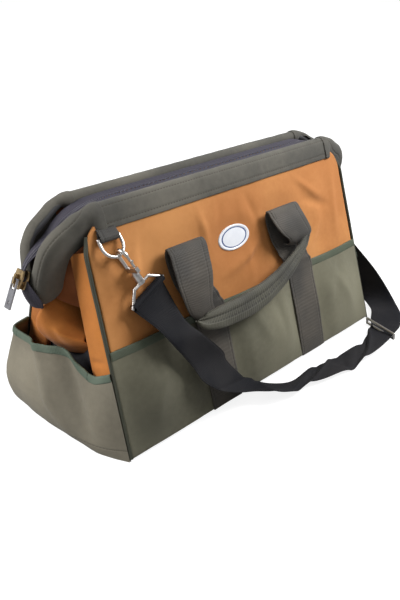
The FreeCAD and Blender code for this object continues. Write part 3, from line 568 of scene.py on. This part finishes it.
grip_line = (
    (-110, -19, 121, 2.5, 3, 0.2), (-101, -21.4, 117, 9, 4.2, 1.2), (-84, -22.6, 115, 12.5, 4.8, 1.4),
    (-60, -23, 113.5, 14, 5, 1.5), (-30, -23, 114, 14.5, 5, 1.6), (0, -23, 118, 14, 5, 1.75),
    (28, -23, 125.5, 12, 4.8, 1.95), (54, -22.8, 136, 10, 4.4, 2.1), (75, -22.4, 146.5, 7.5, 4, 2.2),
    (90, -21.8, 155.5, 6, 3.4, 2.3), (100, -20.8, 162.5, 4.2, 2.6, 2.4), (107, -19.8, 168.5, 2, 1.6, 2.5))
grip_webbing = webbing_finish("grip_webbing", paint(88, 86, 74), paint(56, 55, 49), (0.0515, 0.0545))


def leg_cloth(side, name, line):
    def shape(u, down):
        v = 1 - down
        a = 2 * u - 1
        x, y, z, half = smooth_at(line, v)
        off = a * half
        curl = 2.6 * v ** 2 * a ** 2 + 0.7 * rumple((x + off, z, 0), 18, 17)
        dip = -5 * v ** 3 * (1 - a ** 2)
        return on_wall(side, x + off, y + curl, z + dip)
    return cloth(f"{side}_{name}_leg", (18, 56), (54, 108), shape, 1.9, webbing)


def grip_cloth(side):
    def shape(u, v):
        x, y, z, half, thick, turn = smooth_at(grip_line, v)
        angle = 2 * pi * u
        wide = copysign(abs(cos(angle)) ** 0.7, cos(angle)) * half
        deep = copysign(abs(sin(angle)) ** 0.8, sin(angle)) * thick
        groove = 3.4 * hump(wide - 0.15 * half, 1.5) if deep < 0 else 0
        slump = 1.3 * rumple((x * 0.6, z, wide * 1.2), 15, 21)
        y = y + deep + slump + groove
        return on_wall(side, x + cos(turn) * wide, y, z + sin(turn) * wide)
    return cloth(side + "_grip_roll", (40, 130), (70, 250), shape, 0, grip_webbing, True)


for side in sides:
    for piece in (leg_cloth(side, "left", left_leg), leg_cloth(side, "right", right_leg), grip_cloth(side)):
        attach(piece, side + "_grip")
        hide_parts(side + "_handle")


# Long sleeves: webbing-coloured cloth wrapped over the top tube of each mouth frame.
# Each is sewn to the wall below the tube with two rows of stitches.
band_finish = duck_cloth("sleeve_band", paint(103, 99, 89), paint(58, 57, 52), (), (0.006, 0.022))
sleeve_profile = (
    (9.6, 262), (13, 266), (13.8, 271), (10.6, 275.6), (6, 276.6), (1.2, 274.6), (-1.6, 269), (-2.4, 262),
    (-2.6, 254), (-2.3, 247.2))
sleeve_end = 191


def sleeve_cloth(side):
    def shape(u, v):
        x = (2 * u - 1) * sleeve_end
        y, z = smooth_at(sleeve_profile, 1 - v)
        slack = 0.8 * rumple((x * 0.5, z, y), 24, 31) + 0.5 * rumple((x, z * 0.5, 0), 9, 2)
        low = clamp((262 - z) / 14)
        return on_wall(side, x, y - slack * (0.3 + 0.5 * low), z + slack * 0.5 * (1 - low))
    return cloth(side + "_mouth_sleeve", (120, 24), (382, 58), shape, 1.2, band_finish)


for side, out in sides.items():
    piece = sleeve_cloth(side)
    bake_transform(piece)
    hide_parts(side + "_sleeve")


# Arm sleeves: the same cloth carried down both arms of each mouth frame to the hinge rivets.
# They wrap the tube from the zipper side and lie flat over the arm's outside.
pin_height = 165
frame_tilt = radians(15.03)
arm_line = (
    (188, 93.6), (199, 93.2), (210, 89), (224, 80.6), (238, 71.6), (247.4, 60), (251.6, 45), (254, 30),
    (255.2, 14), (255.6, 1))
arm_profile = (
    (3, -6.4), (6.4, -4.4), (7.8, -0.8), (7.4, 3.2), (4.8, 6.8), (0, 8.6), (-6, 9.2), (-12, 9.4),
    (-18, 9.2), (-24, 8.4))
arm_finish = duck_cloth("arm_band", paint(100, 96, 86), paint(58, 57, 53), (0.004, 0.022))


def on_frame(side, x, rise, inset=0):
    """A point of a mouth frame in its tilted plane, inset being its distance out of that plane."""
    y = sides[side] * (rise * sin(frame_tilt) + inset * cos(frame_tilt))
    return Vector((x, y, pin_height + rise * cos(frame_tilt) - inset * sin(frame_tilt)))


def at_end(side, end, x, y, z):
    """A point of a wall, x being its distance towards one end of the bag."""
    return on_wall(side, -sides[side] * end * x, y, z)


def arm_cloth(side, end):
    def shape(u, v):
        x, rise = smooth_at(arm_line, v)
        run = (smooth_at(arm_line, v + 0.02) - smooth_at(arm_line, v - 0.02)).normalized()
        along, off = smooth_at(arm_profile, u)
        tip = clamp((v - 0.86) / 0.14)
        if along < 0:
            along = along * sqrt(1 - (0.93 * tip) ** 2)
        off = off - 2.2 * tip * max(off, 0) / 9
        off = max(off, 0.5 - rise * sin(frame_tilt))
        here = on_frame(side, end * (x - run.y * along), rise + run.x * along, off)
        there = at_end(side, end, x, *smooth_at(sleeve_profile, u))
        point = there.lerp(here, ease(clamp((x - 193) / 24)))
        soft = 0.9 * rumple(point, 20, 41) + 0.4 * rumple(point, 8, 12)
        return point + Vector((end * 0.5, sides[side] * 0.6, 0.3)) * soft
    return end_cloth(side, end, "arm_sleeve", (24, 80), (58, 160), shape, 1.2, arm_finish)


for side, out in sides.items():
    for end in end_names:
        piece = arm_cloth(side, end)
        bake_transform(piece)
        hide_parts(side + "_arm_sleeves")


# Mouth zipper: dark woven tapes with a coil, sewn to the sleeves and closed by one slider.
# It arches over the shoulders of the frame, and a tab of tape hangs below the slider.
zipper_line = (
    (-269.4, 198, 3), (-264, 210, 3.6), (-251, 221, 7.5), (-233, 229.6, 12), (-214, 244, 14.6),
    (-190, 253.2, 16.4), (-161, 256.2, 16.8), (-60, 256.4, 16.8), (60, 256.4, 16.8), (161, 256.2, 16.8),
    (190, 253.2, 16.4), (214, 244, 14.6), (233, 229.6, 12), (251, 221, 7.5), (264, 210, 3.6),
    (269.4, 198, 3))
zip_finish = Finish("zipper_tape", 0.7)
zip_rib = zip_finish.wave(zip_finish.along(0), 0.0016) * zip_finish.wave(zip_finish.along(1), 0.0022)
zip_finish.wear("Base Color", zip_finish.blend(zip_rib * 0.5, paint(58, 55, 66), paint(38, 36, 46)))
zip_finish.raise_by(zip_rib, 0.0004, 0.6)
tooth_count = 270


def plain(name, roughness, scale, colour, mark):
    """A finish with clouds of a second colour."""
    finish = Finish(name, roughness)
    finish.wear("Base Color", finish.blend(finish.cloud(scale), colour, mark))
    return finish.material


zip_coil = plain("zipper_coil", 0.4, 60, paint(46, 44, 54), paint(78, 75, 86))


def zip_up(share):
    """The upward direction at a share of the zipper's way."""
    run = smooth_at(zipper_line, share + 0.004) - smooth_at(zipper_line, share - 0.004)
    return Vector((-run.y, 0, run.x)).normalized()


def zip_half(side):
    def shape(u, v):
        x, z, half = smooth_at(zipper_line, v)
        reach = 0.7 + (half - 0.7) * u
        sag = -1.4 * sin(pi * u) * min(half / 14, 1) + 0.35 * rumple((x, reach, z), 14, 9)
        return Vector((x, sides[side] * reach, z)) + zip_up(v) * sag
    return cloth(side + "_zipper_tape_cloth", (8, 150), (16, 620), shape, 0.8, zip_finish.material,
                 turned=side == "front")


def zip_teeth(side):
    row = bmesh.new()
    size = Matrix.Diagonal((0.0014, 0.0026, 0.0022, 1))
    for index in range(tooth_count):
        share = (index + (0.5 if side == "back" else 0)) / tooth_count
        x, z, _ = smooth_at(zipper_line, share)
        up = zip_up(share)
        sideways = Vector((0, 1, 0))
        basis = Matrix((up.cross(sideways), sideways, up)).transposed().to_4x4()
        at = Matrix.Translation(Vector((x, sides[side] * 1.5, z)) / 1000)
        bmesh.ops.create_cube(row, size=1, matrix=at @ basis @ size)
    bmesh.ops.bevel(row, geom=row.edges[:], offset=0.0004, segments=1, profile=0.5, affect="EDGES",
                    material=-1)
    piece = placed(side + "_zipper_coil", row, zip_coil)
    return piece


def end_tab(u, v):
    z = 199 - 37 * v
    half = 4 + 11 * sin(min(v * 1.3, 1) * pi / 2) - 2.5 * max(v - 0.8, 0) / 0.2
    y = (1 - 2 * u) * half
    return Vector((-267.5 - 2.6 * sin(pi * v) + 6 * v * v + 0.035 * y * y, y, z))


for side in sides:
    for piece, node in ((zip_half(side), "_zipper_tape"), (zip_teeth(side), "_zipper_teeth")):
        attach(piece, side + "_frame")
        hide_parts(side + node)
piece = cloth("zipper_end_tab", (10, 14), (20, 37), end_tab, 1.2, zip_finish.material)
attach(piece, "front_frame")


# Gussets: tan duck folded between the walls at each end, so that the mouth can open wide.
# A flat strip stands beside each corner piping, folds back into a valley, and meets a soft tongue.
# Painted shade: the strips and tongues are the walls' tan duck, painted darker and deeper orange for the
# shade and warm bounced light inside the recessed ends.
gusset_duck_painted_shade = duck_cloth("gusset_duck_painted_shade", paint(190, 118, 46), paint(150, 84, 28))
# Painted shade: the webs and valleys are the same tan duck painted much darker, for the deep shade in the
# inner folds.
fold_duck_painted_shade = duck_cloth("fold_duck_painted_shade", paint(140, 76, 28), paint(96, 50, 18))
gusset_foot = 66


def leaf_cloth(side, end):
    def shape(u, v):
        rise = gusset_foot + 166 * v
        width = 36 * (1 - 0.3 * v)
        near = half_at(rise)
        sway = 1.8 * rumple((u * 18, rise, 0), 26, 51) - 2.2 * hump(rise - 112, 3)
        profile = ((near + 0.2, 1.6), (near + 1.6, 4), (near + 3.4 + sway, 3 + width * 0.35),
                   (near + 3.6 + sway, 3 + width * 0.75), (near + 2.2, 2.4 + width),
                   (near - 1.8, 2.6 + width), (near - 9, -1 + width), (near - 19, -9 + width),
                   (near - 26, -12 + width))
        x, y = smooth_at(profile, u)
        return at_end(side, end, x, y, rise)
    return end_cloth(side, end, "gusset_strip", (36, 44), (75, 166), shape, 1.2, gusset_duck_painted_shade)


# Rows of the tongue and the web: z, x and half depth.
tongue_line = (
    (92, 226, 37), (106, 238, 38.5), (120, 248, 38), (134, 254, 36), (147, 253.5, 33), (157, 247, 30),
    (162, 233, 28), (163, 212, 27))
web_line = (
    (167, 236, 42), (176, 233, 42), (192, 230, 40), (208, 226, 37), (222, 219, 33), (234, 207, 29))


def tongue_cloth(end):
    def shape(u, v):
        z, x, half = smooth_at(tongue_line, v)
        a = 2 * u - 1
        y = half * a
        fold = 30 * abs(a) ** 1.9
        dent = 3 * hump(a + 0.35, 0.16) * hump(v - 0.55, 0.4) - 2.4 * hump(a - 0.2, 0.2)
        soft = 2.4 * rumple((y, z * 1.2, 0), 19, 61)
        drop = 52 * abs(a) ** 1.1 * max(v - 0.15, 0) / 0.85
        return Vector((end * (x - fold - dent + soft), y, z - drop + 1.2 * soft))
    return cloth(end_names[end] + "_gusset_tongue", (48, 44), (80, 96), shape, 1.6, gusset_duck_painted_shade,
                 turned=end < 0)


def gusset_web(side, end):
    """The soft fold between a tongue's edge and the middle of the end, under the zipper."""
    def shape(a, v):
        z, x, half = smooth_at(web_line, v)
        y = sides[side] * half * (1 - a)
        valley = 40 * (1 - a) ** 1.3
        facet = 6 * hump(a - 0.45, 0.12) * sin(pi * v) + 3 * rumple((y, z, 0), 15, 71)
        crease = -5 * hump(v - 0.42 - 0.2 * a, 0.05) * (1 - a)
        low = 26 * (1 - a) * max(1 - v * 1.6, 0)
        return Vector((end * (x - valley + facet + crease), y, z - low))
    return end_cloth(side, end, "gusset_web", (24, 30), (44, 74), shape, 1.2, fold_duck_painted_shade)


def valley_cloth(side, end):
    """The deep inner fold from a gusset strip's inner edge to the middle of the end."""
    def shape(u, v):
        rise = gusset_foot + 158 * v
        edge = at_end(side, end, half_at(rise) - 26, 24 - 10.8 * v, rise)
        point = edge.lerp(Vector((end * 166, 0, edge.z - 40 * v)), u)
        point.x += end * 2.5 * rumple((point.y, point.z, 0), 22, 81)
        return point
    return end_cloth(side, end, "gusset_valley", (20, 36), (60, 158), shape, 1.2, fold_duck_painted_shade)


for end, name in end_names.items():
    piece = tongue_cloth(end)
    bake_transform(piece)
    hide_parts(name + "_gusset_fold")
    for side, out in sides.items():
        piece = leaf_cloth(side, end)
        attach(piece, side + "_wall")
        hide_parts(side + "_gusset_leaves")
        inner = ((gusset_web(side, end), 0.2, 0.04), (valley_cloth(side, end), 0.1, 0.028))
        for piece, rise, reach in inner:
            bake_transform(piece)
            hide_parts(side + "_gusset_leaves")


# End pockets: olive cloth that bellies out over each end from piping to piping, open at the top.
# The mouth dips towards the front corner, and the same folded tape binds it.
# The first table has a place and the reach at the foot and the rim. The others have a place and a value.
pocket_across = (
    (-1, 0, 0), (-0.93, 0.2, 0.03), (-0.82, 0.45, 0.08), (-0.6, 0.75, 0.2), (-0.38, 0.87, 0.5),
    (-0.15, 0.95, 0.8), (0.08, 0.99, 0.93), (0.3, 1, 1), (0.55, 0.96, 1), (0.75, 0.85, 0.95),
    (0.9, 0.62, 0.74), (1, 0, 0))
pocket_out = (
    (0, 0.48), (0.07, 0.63), (0.14, 0.76), (0.3, 0.91), (0.45, 0.985), (0.6, 0.98), (0.8, 0.87), (1, 0.74),
    (1.35, 0.68))
pocket_mouth = (
    (-1.05, 1.06), (-0.93, 1), (-0.82, 0.96), (-0.72, 0.925), (-0.62, 0.93), (-0.45, 1.02), (-0.3, 1.11),
    (-0.15, 1.165), (0.1, 1.185), (0.5, 1.17), (0.8, 1.15), (1.05, 1.12))
end_rise = 94
end_olive = duck_cloth("end_olive_cloth", paint(132, 125, 108), paint(100, 95, 82), (), (0.014,))


def read_row(table, at):
    """The value at a place in a table of places and values."""
    low = 0
    while low < len(table) - 2 and table[low + 1][0] < at:
        low += 1
    part = clamp((at - table[low][0]) / (table[low + 1][0] - table[low][0]))
    return table[low][1] + (table[low + 1][1] - table[low][1]) * part


def pocket_point(end, share, z):
    """A point on the outside of an end pocket, share running from the front corner to the back."""
    a, foot, rim = smooth_at(pocket_across, share)
    level = z / end_rise
    across = foot + (rim - foot) * min(level, 1)
    y = (half_depth - depth_slope * z) * a
    rise_fold = hump(a + 0.14 + 0.5 * (0.6 - level), 0.11)
    dip_fold = hump(a + 0.42 + 0.46 * (0.7 - level), 0.11)
    folds = 5 * rise_fold - 6.5 * dip_fold
    folds = folds * min(level * 1.8, 1) * 1.3 + 3 * rumple((y, z * 0.5, 0), 30, 81)
    out = 42 * read_row(pocket_out, level) * max(across, 0) + folds * (1 - abs(a) ** 4)
    return Vector((end * (230.3 - length_slope * z + max(out, 0.4)), y, z))


def pocket_rim(share):
    return end_rise * read_row(pocket_mouth, smooth_at(pocket_across, share)[0]) + 0.5


def rim_point(end, share):
    return pocket_point(end, share, pocket_rim(share))


def end_pocket_cloth(name, end, first, last, cells):
    def shape(u, v):
        share = first + (last - first) * u
        return pocket_point(end, share, 0.3 + (pocket_rim(share) - 0.3) * v)
    return cloth(name, (cells, 34), (260 * (last - first), 106), shape, 1.8, end_olive,
                 turned=end < 0, rim=False)


def end_pocket_binding(name, end, first, last, cells):
    def line(u):
        share = first + (last - first) * (u if end > 0 else 1 - u)
        here = rim_point(end, share)
        along = rim_point(end, min(share + 0.01, 1)) - rim_point(end, max(share - 0.01, 0))
        up = (here - pocket_point(end, share, pocket_rim(share) - 6)).normalized()
        out = along.cross(up).normalized()
        if out.x * end < 0:
            out = -out
        return here + out * 0.3, out, up
    return bound_edge(name, line, 8, 260 * (last - first), cells, 0.5, bias_tape)


pocket_parts = (("front", 0, 0.27, 22), ("middle", 0.27, 0.78, 44), ("back", 0.78, 1, 20))
for end, name in end_names.items():
    for part, first, last, cells in pocket_parts:
        pocket = end_pocket_cloth(f"{name}_end_pocket_{part}", end, first, last, cells)
        binding = end_pocket_binding(f"{name}_end_binding_{part}", end, first, last, cells)
        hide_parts(name + "_end_pocket")
        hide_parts(name + "_end_pocket_hem")
        for piece in (pocket, binding):
            if part == "middle":
                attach(piece, "base")
            else:
                out = sides[part]
                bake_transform(piece)


# Shoulder strap: broad dark webbing clipped to a ring at each end of the bag.
# It drops across the front, twists on edge, lies on the floor and climbs behind the right end.
# It is cut into lengths that meet edge to edge.
strap_rows = (
    ((-185.5, -72, 154.2), (-139.9, -66, 173.7)), ((-169, -91.6, 132.8), (-128.8, -89.4, 130.2)),
    ((-158.7, -101.4, 114.9), (-112, -103.5, 108.5)), ((-135.2, -107.4, 79.2), (-85.1, -106.8, 77.9)),
    ((-127.7, -119.9, 60), (-79.3, -107.9, 62.6)), ((-105.1, -129.7, 42.1), (-59.1, -111.2, 37)),
    ((-78.2, -130.8, 27.3), (-35.6, -109, 18.1)), ((-54, -135.2, 19.2), (-19.6, -112.3, 4.1)),
    ((-29.9, -157, 17.1), (12, -135.2, 1.5)), ((17.2, -160.2, 7.7), (59.8, -133, 3.1)),
    ((50.6, -169, 7.7), (92, -137.3, 2)), ((92, -174.4, 8.7), (127.9, -142.8, 2)),
    ((138, -176.6, 7.7), (165.6, -139.5, 3.1)), ((197.8, -170, 7.2), (211.6, -122.1, 6.1)),
    ((248.4, -154.8, 8.7), (239.2, -109, 7.7)), ((279.5, -124.3, 14), (258.8, -90.5, 5.1)),
    ((286.4, -83.9, 48.5), (277.2, -56.7, 11.5)), ((286.4, -40.3, 80.4), (284.1, -12, 42.1)),
    ((285.2, 5.5, 112.4), (282.9, 38.1, 76.6)), ((280.6, 40.3, 143), (267.9, 71.9, 112.4)),
    ((266.8, 65.4, 167.3), (236.9, 81.8, 135.4)), ((249, 62.6, 183.5), (208, 71, 156.1)))
strap_webbing = webbing_finish("strap_webbing", paint(36, 35, 37), paint(17, 18, 24),
                               (0.004, 0.046, 0.054, 0.096), 0.0024, 0.15)
# Folds are a place along the strap, a slope across it, a height and a width.
strap_folds = (
    (5.2, 0.9, 2.5, 0.3), (7.3, -0.8, -2.5, 0.3), (9, 0.9, 5, 0.28), (9.5, 0.9, -4, 0.22),
    (10.6, -0.7, 4, 0.25), (11.6, 1, 7, 0.25), (12.1, 1, -4.5, 0.2), (13.2, -0.9, 5, 0.25),
    (17.2, -0.6, 3, 0.3))


def strap_edges(share):
    """Both edges of the strap at a share of its length."""
    return [smooth_at([row[edge] for row in strap_rows], share) for edge in (0, 1)]


def strap_cloth(name, first, last, cells):
    def shape(u, v):
        at = first + (last - first) * v
        share = at / (len(strap_rows) - 1)
        across = clamp(1.12 * abs(2 * u - 1) - 0.06)
        side = copysign(min(1, 9 * min(u, abs(u - 0.5), 1 - u) + 0.25), u - 0.5)
        a, b = strap_edges(share)
        near = map(strap_edges, (share + 0.005, share - 0.005))
        ahead, behind = [low.lerp(high, 0.5) for low, high in near]
        face = (b - a).cross(ahead - behind).normalized()
        bow = 1.2 * (1 - (2 * across - 1) ** 2) * min(share * 8, 1)
        pinch = 0
        for place, slope, height, width in strap_folds if at < 18.5 else ():
            bow += height * exp(-abs(at - place - slope * (across - 0.5)) / width)
            pinch += abs(height) * 0.03 * exp(-abs(at - place - slope * 0.3) / width)
        point = a.lerp(b, across * (1 - min(pinch, 0.4))) + face * bow
        point.z = max(point.z, 1.1 + 0.5 * across)
        return point + face * (0.9 * side)
    size = (100, 46 * (last - first))
    return cloth(name, (32, cells), size, shape, 0, strap_webbing, True)


# Rows: name, node, first and last row, cells, the joint's two bodies, and the bend's way, start and end.
up_only, along_low = (0, 0, 1), (-1, 0, 0)
climb, turn_in = (0, 0.7071, 0.7071), (-0.673, -0.26, 0.693)
strap_parts = (
    ("front_end", "strap_front", 0, 0.6, 10, "left_hook", "left_strap_end", up_only, 0.1477, 0.154),
    ("front_hook", "strap_front", 0.6, 2, 16, "left_ring", "left_hook", up_only, 0.115, 0.1413),
    ("front_drop", "strap_front", 2, 3, 12, "front_wall", "left_ring", up_only, 0.0275, 0.1085),
    ("front_side", "strap_floor", 3, 6, 43, "front_wall", "left_ring", up_only, 0.0275, 0.1085),
    ("front_foot", "strap_floor", 6, 9, 43, "base", "front_wall", along_low, -0.0172, 0.0356),
    ("floor", "strap_floor", 9, 15, 86, "base", None, None, 0, 0),
    ("back_foot", "strap_floor", 15, 17, 28, "base", "back_wall", climb, -0.0601, 0.0212),
    ("back_side", "strap_floor", 17, 19, 28, "back_wall", "right_ring", climb, 0.0284, 0.1442),
    ("back_drop", "strap_back", 19, 19.6, 9, "back_wall", "right_ring", climb, 0.0284, 0.1442),
    ("back_hook", "strap_back", 19.6, 20.4, 12, "right_ring", "right_hook", turn_in, -0.0885, -0.0723),
    ("back_end", "strap_back", 20.4, 21, 10, "right_hook", "right_strap_end", turn_in, -0.0711, -0.0567))
for part, node, first, last, cells, still, moved, way, start, end in strap_parts:
    piece = strap_cloth(f"strap_{part}_cloth", first, last, cells)
    if moved:
        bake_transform(piece)
    else:
        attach(piece, still)
    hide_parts(node)


# Metal and small fittings: bright nickel rings and hooks, a brass slider, black steel tubes.
# They are cast, bent or drawn, and polished or dipped, so they carry faint marks and no cloth.
def metal(name, colour, mark, roughness):
    finish = Finish(name, roughness, 1)
    marks = finish.soft_step(finish.cloud(140), 0.45, 0.75)
    finish.wear("Base Color", finish.blend(marks, colour, mark))
    finish.wear("Roughness", finish.cloud(420, 2) * 0.12 + roughness)
    finish.raise_by(finish.cloud(300, 2), 0.00008, 0.5)
    return finish.material


nickel = metal("bright_nickel", (0.68, 0.66, 0.64, 1), (0.5, 0.48, 0.47, 1), 0.24)
brass = metal("aged_brass", (0.5, 0.37, 0.2, 1), (0.26, 0.19, 0.11, 1), 0.3)
pull_grey = metal("pull_nickel", (0.42, 0.42, 0.45, 1), (0.22, 0.22, 0.25, 1), 0.28)
black_tube = plain("black_tube", 0.45, 70, (0.02, 0.02, 0.022, 1), (0.05, 0.05, 0.052, 1))
black_board = plain("base_board", 0.8, 40, (0.02, 0.02, 0.02, 1), (0.04, 0.04, 0.038, 1))
for material, nodes in (
        (nickel, ("left_d_ring", "right_d_ring", "left_snap_hook", "right_snap_hook", "left_hook_gate",
                  "right_hook_gate", "left_strap_ring", "right_strap_ring", "strap_adjuster",
                  "hinge_rivet_heads", "hinge_rivet_tails")),
        (brass, ("zipper_slider",)), (pull_grey, ("zipper_pull",)),
        (black_tube, ("front_frame_tube", "back_frame_tube")), (black_board, ("base_board",))):
    for node in nodes:
        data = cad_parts[node].data
        data.materials.clear()
        data.materials.append(material)


# Badge: an oval enamelled plate with a raised border, white with a plain navy line round it.
# It is fixed to the front wall between the handle's loops, and its face is left bare.
badge_half, badge_tall = 27, 15
badge_finish = Finish("badge_enamel", 0.3)
badge_at = on_wall("front", badge_x, 0, badge_z) / 1000
place = badge_finish.place()
spot, deep, tall = [badge_finish.add("SeparateXYZ", {0: place}, axis) for axis in (0, 1, 2)]
across = (spot - badge_at.x) * (1000 / badge_half)
rise = ((deep - badge_at.y) * sin(lean) + (tall - badge_at.z) * cos(lean)) * (1000 / badge_tall)
reach = badge_finish.add("Math", {0: across * across + rise * rise}, operation="SQRT")
enamel = badge_finish.blend(badge_finish.cloud(90), paint(214, 218, 226), paint(238, 240, 244))
badge_finish.wear("Base Color", badge_finish.blend(abs(reach - 0.77) < 0.04, enamel, paint(66, 84, 128)))
badge_finish.fix("Coat Weight", 0.4)
badge_profile = (
    (0, -0.1), (0.6, -0.1), (0.98, -0.1), (1, -0.9), (0.98, -1.7), (0.92, -2), (0.86, -1.8), (0.82, -1.5),
    (0.7, -1.55), (0.4, -1.8), (0, -1.9))


def badge_shape(u, v):
    share, y = smooth_at(badge_profile, v)
    share = max(share, 0) if 0.001 < v < 0.999 else 0
    angle = -2 * pi * u
    return on_wall("front", badge_x + badge_half * share * cos(angle), y,
                   badge_z + badge_tall * share * sin(angle))


piece = cloth("badge_plate", (56, 30), (54, 30), badge_shape, 0, badge_finish.material, True)
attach(piece, "front_wall")
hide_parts("badge")


# Ring tabs: a short fold of webbing, sewn under the sleeve at one end of each wall, holds a D-ring.
# The fold runs round the ring's straight bar.
tab_line = (
    (-0.7, 251), (-3.6, 249.4), (-5.4, 246), (-7.9, 241), (-7.4, 237.4), (-3.8, 235.9), (-1, 238),
    (-0.5, 242), (-0.7, 248))


def tab_cloth(side):
    def shape(u, v):
        y, z = smooth_at(tab_line, 1 - v)
        return on_wall(side, -190 + (u - 0.5) * 24, y + 0.3 * rumple((u * 20, z, 0), 6, 3), z)
    return cloth(side + "_ring_tab_cloth", (10, 26), (24, 34), shape, 1.4, webbing)


for side, name in (("front", "left"), ("back", "right")):
    piece = tab_cloth(side)
    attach(piece, side + "_wall")
    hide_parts(name + "_ring_tab")


# Floor of the bag: olive cloth under a loose black board, with a dark lined panel at each end.
# The end panels are the still part of each end, behind the end pocket.
def base_cloth(u, v):
    x, y = (u - 0.5) * 459, (0.5 - v) * 217
    edge = min(0.5 - abs(u - 0.5), (0.5 - abs(v - 0.5)) * 0.47)
    return Vector((x, y, 0.1 + 1.2 * max(1 - edge / 0.006, 0)))


piece = cloth("base_cloth", (60, 30), (459, 217), base_cloth, 2.4, olive_cloth)
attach(piece, "base")
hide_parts("base_panel")
end_lining = duck_cloth("end_lining", paint(44, 43, 48), paint(26, 26, 32))


def end_wall(end):
    def shape(u, v):
        z = 3.2 + 106.6 * v
        y = (2 * u - 1) * (105.2 - depth_slope * z)
        bow = 1 * rumple((y, z, 0), 34, 91)
        return Vector((end * (218.3 + bow * sin(pi * u)), end * y, z))
    return cloth(end_names[end] + "_end_wall", (36, 24), (200, 107), shape, 2.6, end_lining)


for end, name in end_names.items():
    piece = end_wall(end)
    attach(piece, "base")
    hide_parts(name + "_end_panel")


# Inside pockets: three open-topped olive pockets a side, pleated at their edges and bound with tape.
# They are sewn to the lining of each wall.
pleat = (
    (0, 3.3), (0.03, 6.5), (0.055, 11.5), (0.085, 15.2), (0.3, 17), (0.5, 17.2), (0.7, 17), (0.915, 15.2),
    (0.945, 11.5), (0.97, 6.5), (1, 3.3))
inside_foot, inside_rise = 14.2, 93.6
lining_pocket = duck_cloth("inside_pocket", paint(112, 110, 92), paint(84, 83, 70), (), (0.006,))


def inside_point(side, index, share, z):
    y = read_row(pleat, share)
    drawn = min(sqrt(max((z - 14) / 10, 0)), 1)
    soft = 0.8 * rumple((share * 130, z * 0.6, index * 40), 26, 13)
    return on_wall(side, -197.6 + index * 132 + 0.6 + 130 * share, 3.3 + (y - 3.3 + soft) * drawn, z)


def inside_pocket(side, index):
    def shape(u, v):
        return inside_point(side, index, u, inside_foot + inside_rise * (1 - v))
    name = f"{side}_inside_pocket_{index + 1}"
    return cloth(name, (44, 16), (150, 94), shape, 1.3, lining_pocket)


def inside_binding(side, index):
    def line(u):
        here, ahead, behind = [inside_point(side, index, share, inside_foot + inside_rise)
                               for share in (1 - u, max(0.98 - u, 0), min(1.02 - u, 1))]
        up = on_wall(side, 0, 0, 1) - on_wall(side, 0, 0, 0)
        return here, (ahead - behind).cross(up).normalized(), up
    return bound_edge(f"{side}_inside_binding_{index + 1}", line, 7, 150, 44, 0.4, bias_tape)


for side in sides:
    for index in range(3):
        for piece in (inside_pocket(side, index), inside_binding(side, index)):
            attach(piece, side + "_wall")
            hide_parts(side + "_organizer_pockets")


# Folds of the strap round the lower bars of its two rings, so that the webbing holds the metal.
# Each is the strap's own end, turned under and sewn to itself.
def strap_loop(name, ends):
    low, high = [Vector(end) for end in ends]
    along = (high - low).normalized()
    across = along.orthogonal().normalized() * 4.4
    other = along.cross(across)

    def shape(u, v):
        angle = 2 * pi * u
        return low.lerp(high, v) + across * cos(angle) + other * sin(angle)
    return cloth(name, (20, 10), (27, 50), shape, 0, strap_webbing, True)


for name, ends in (("left", ((-185.5, -72, 157.8), (-139.9, -66, 177.3))),
                   ("right", ((249, 62.6, 187.1), (208, 71, 159.7)))):
    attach(strap_loop(name + "_strap_fold", ends), name + "_strap_end")
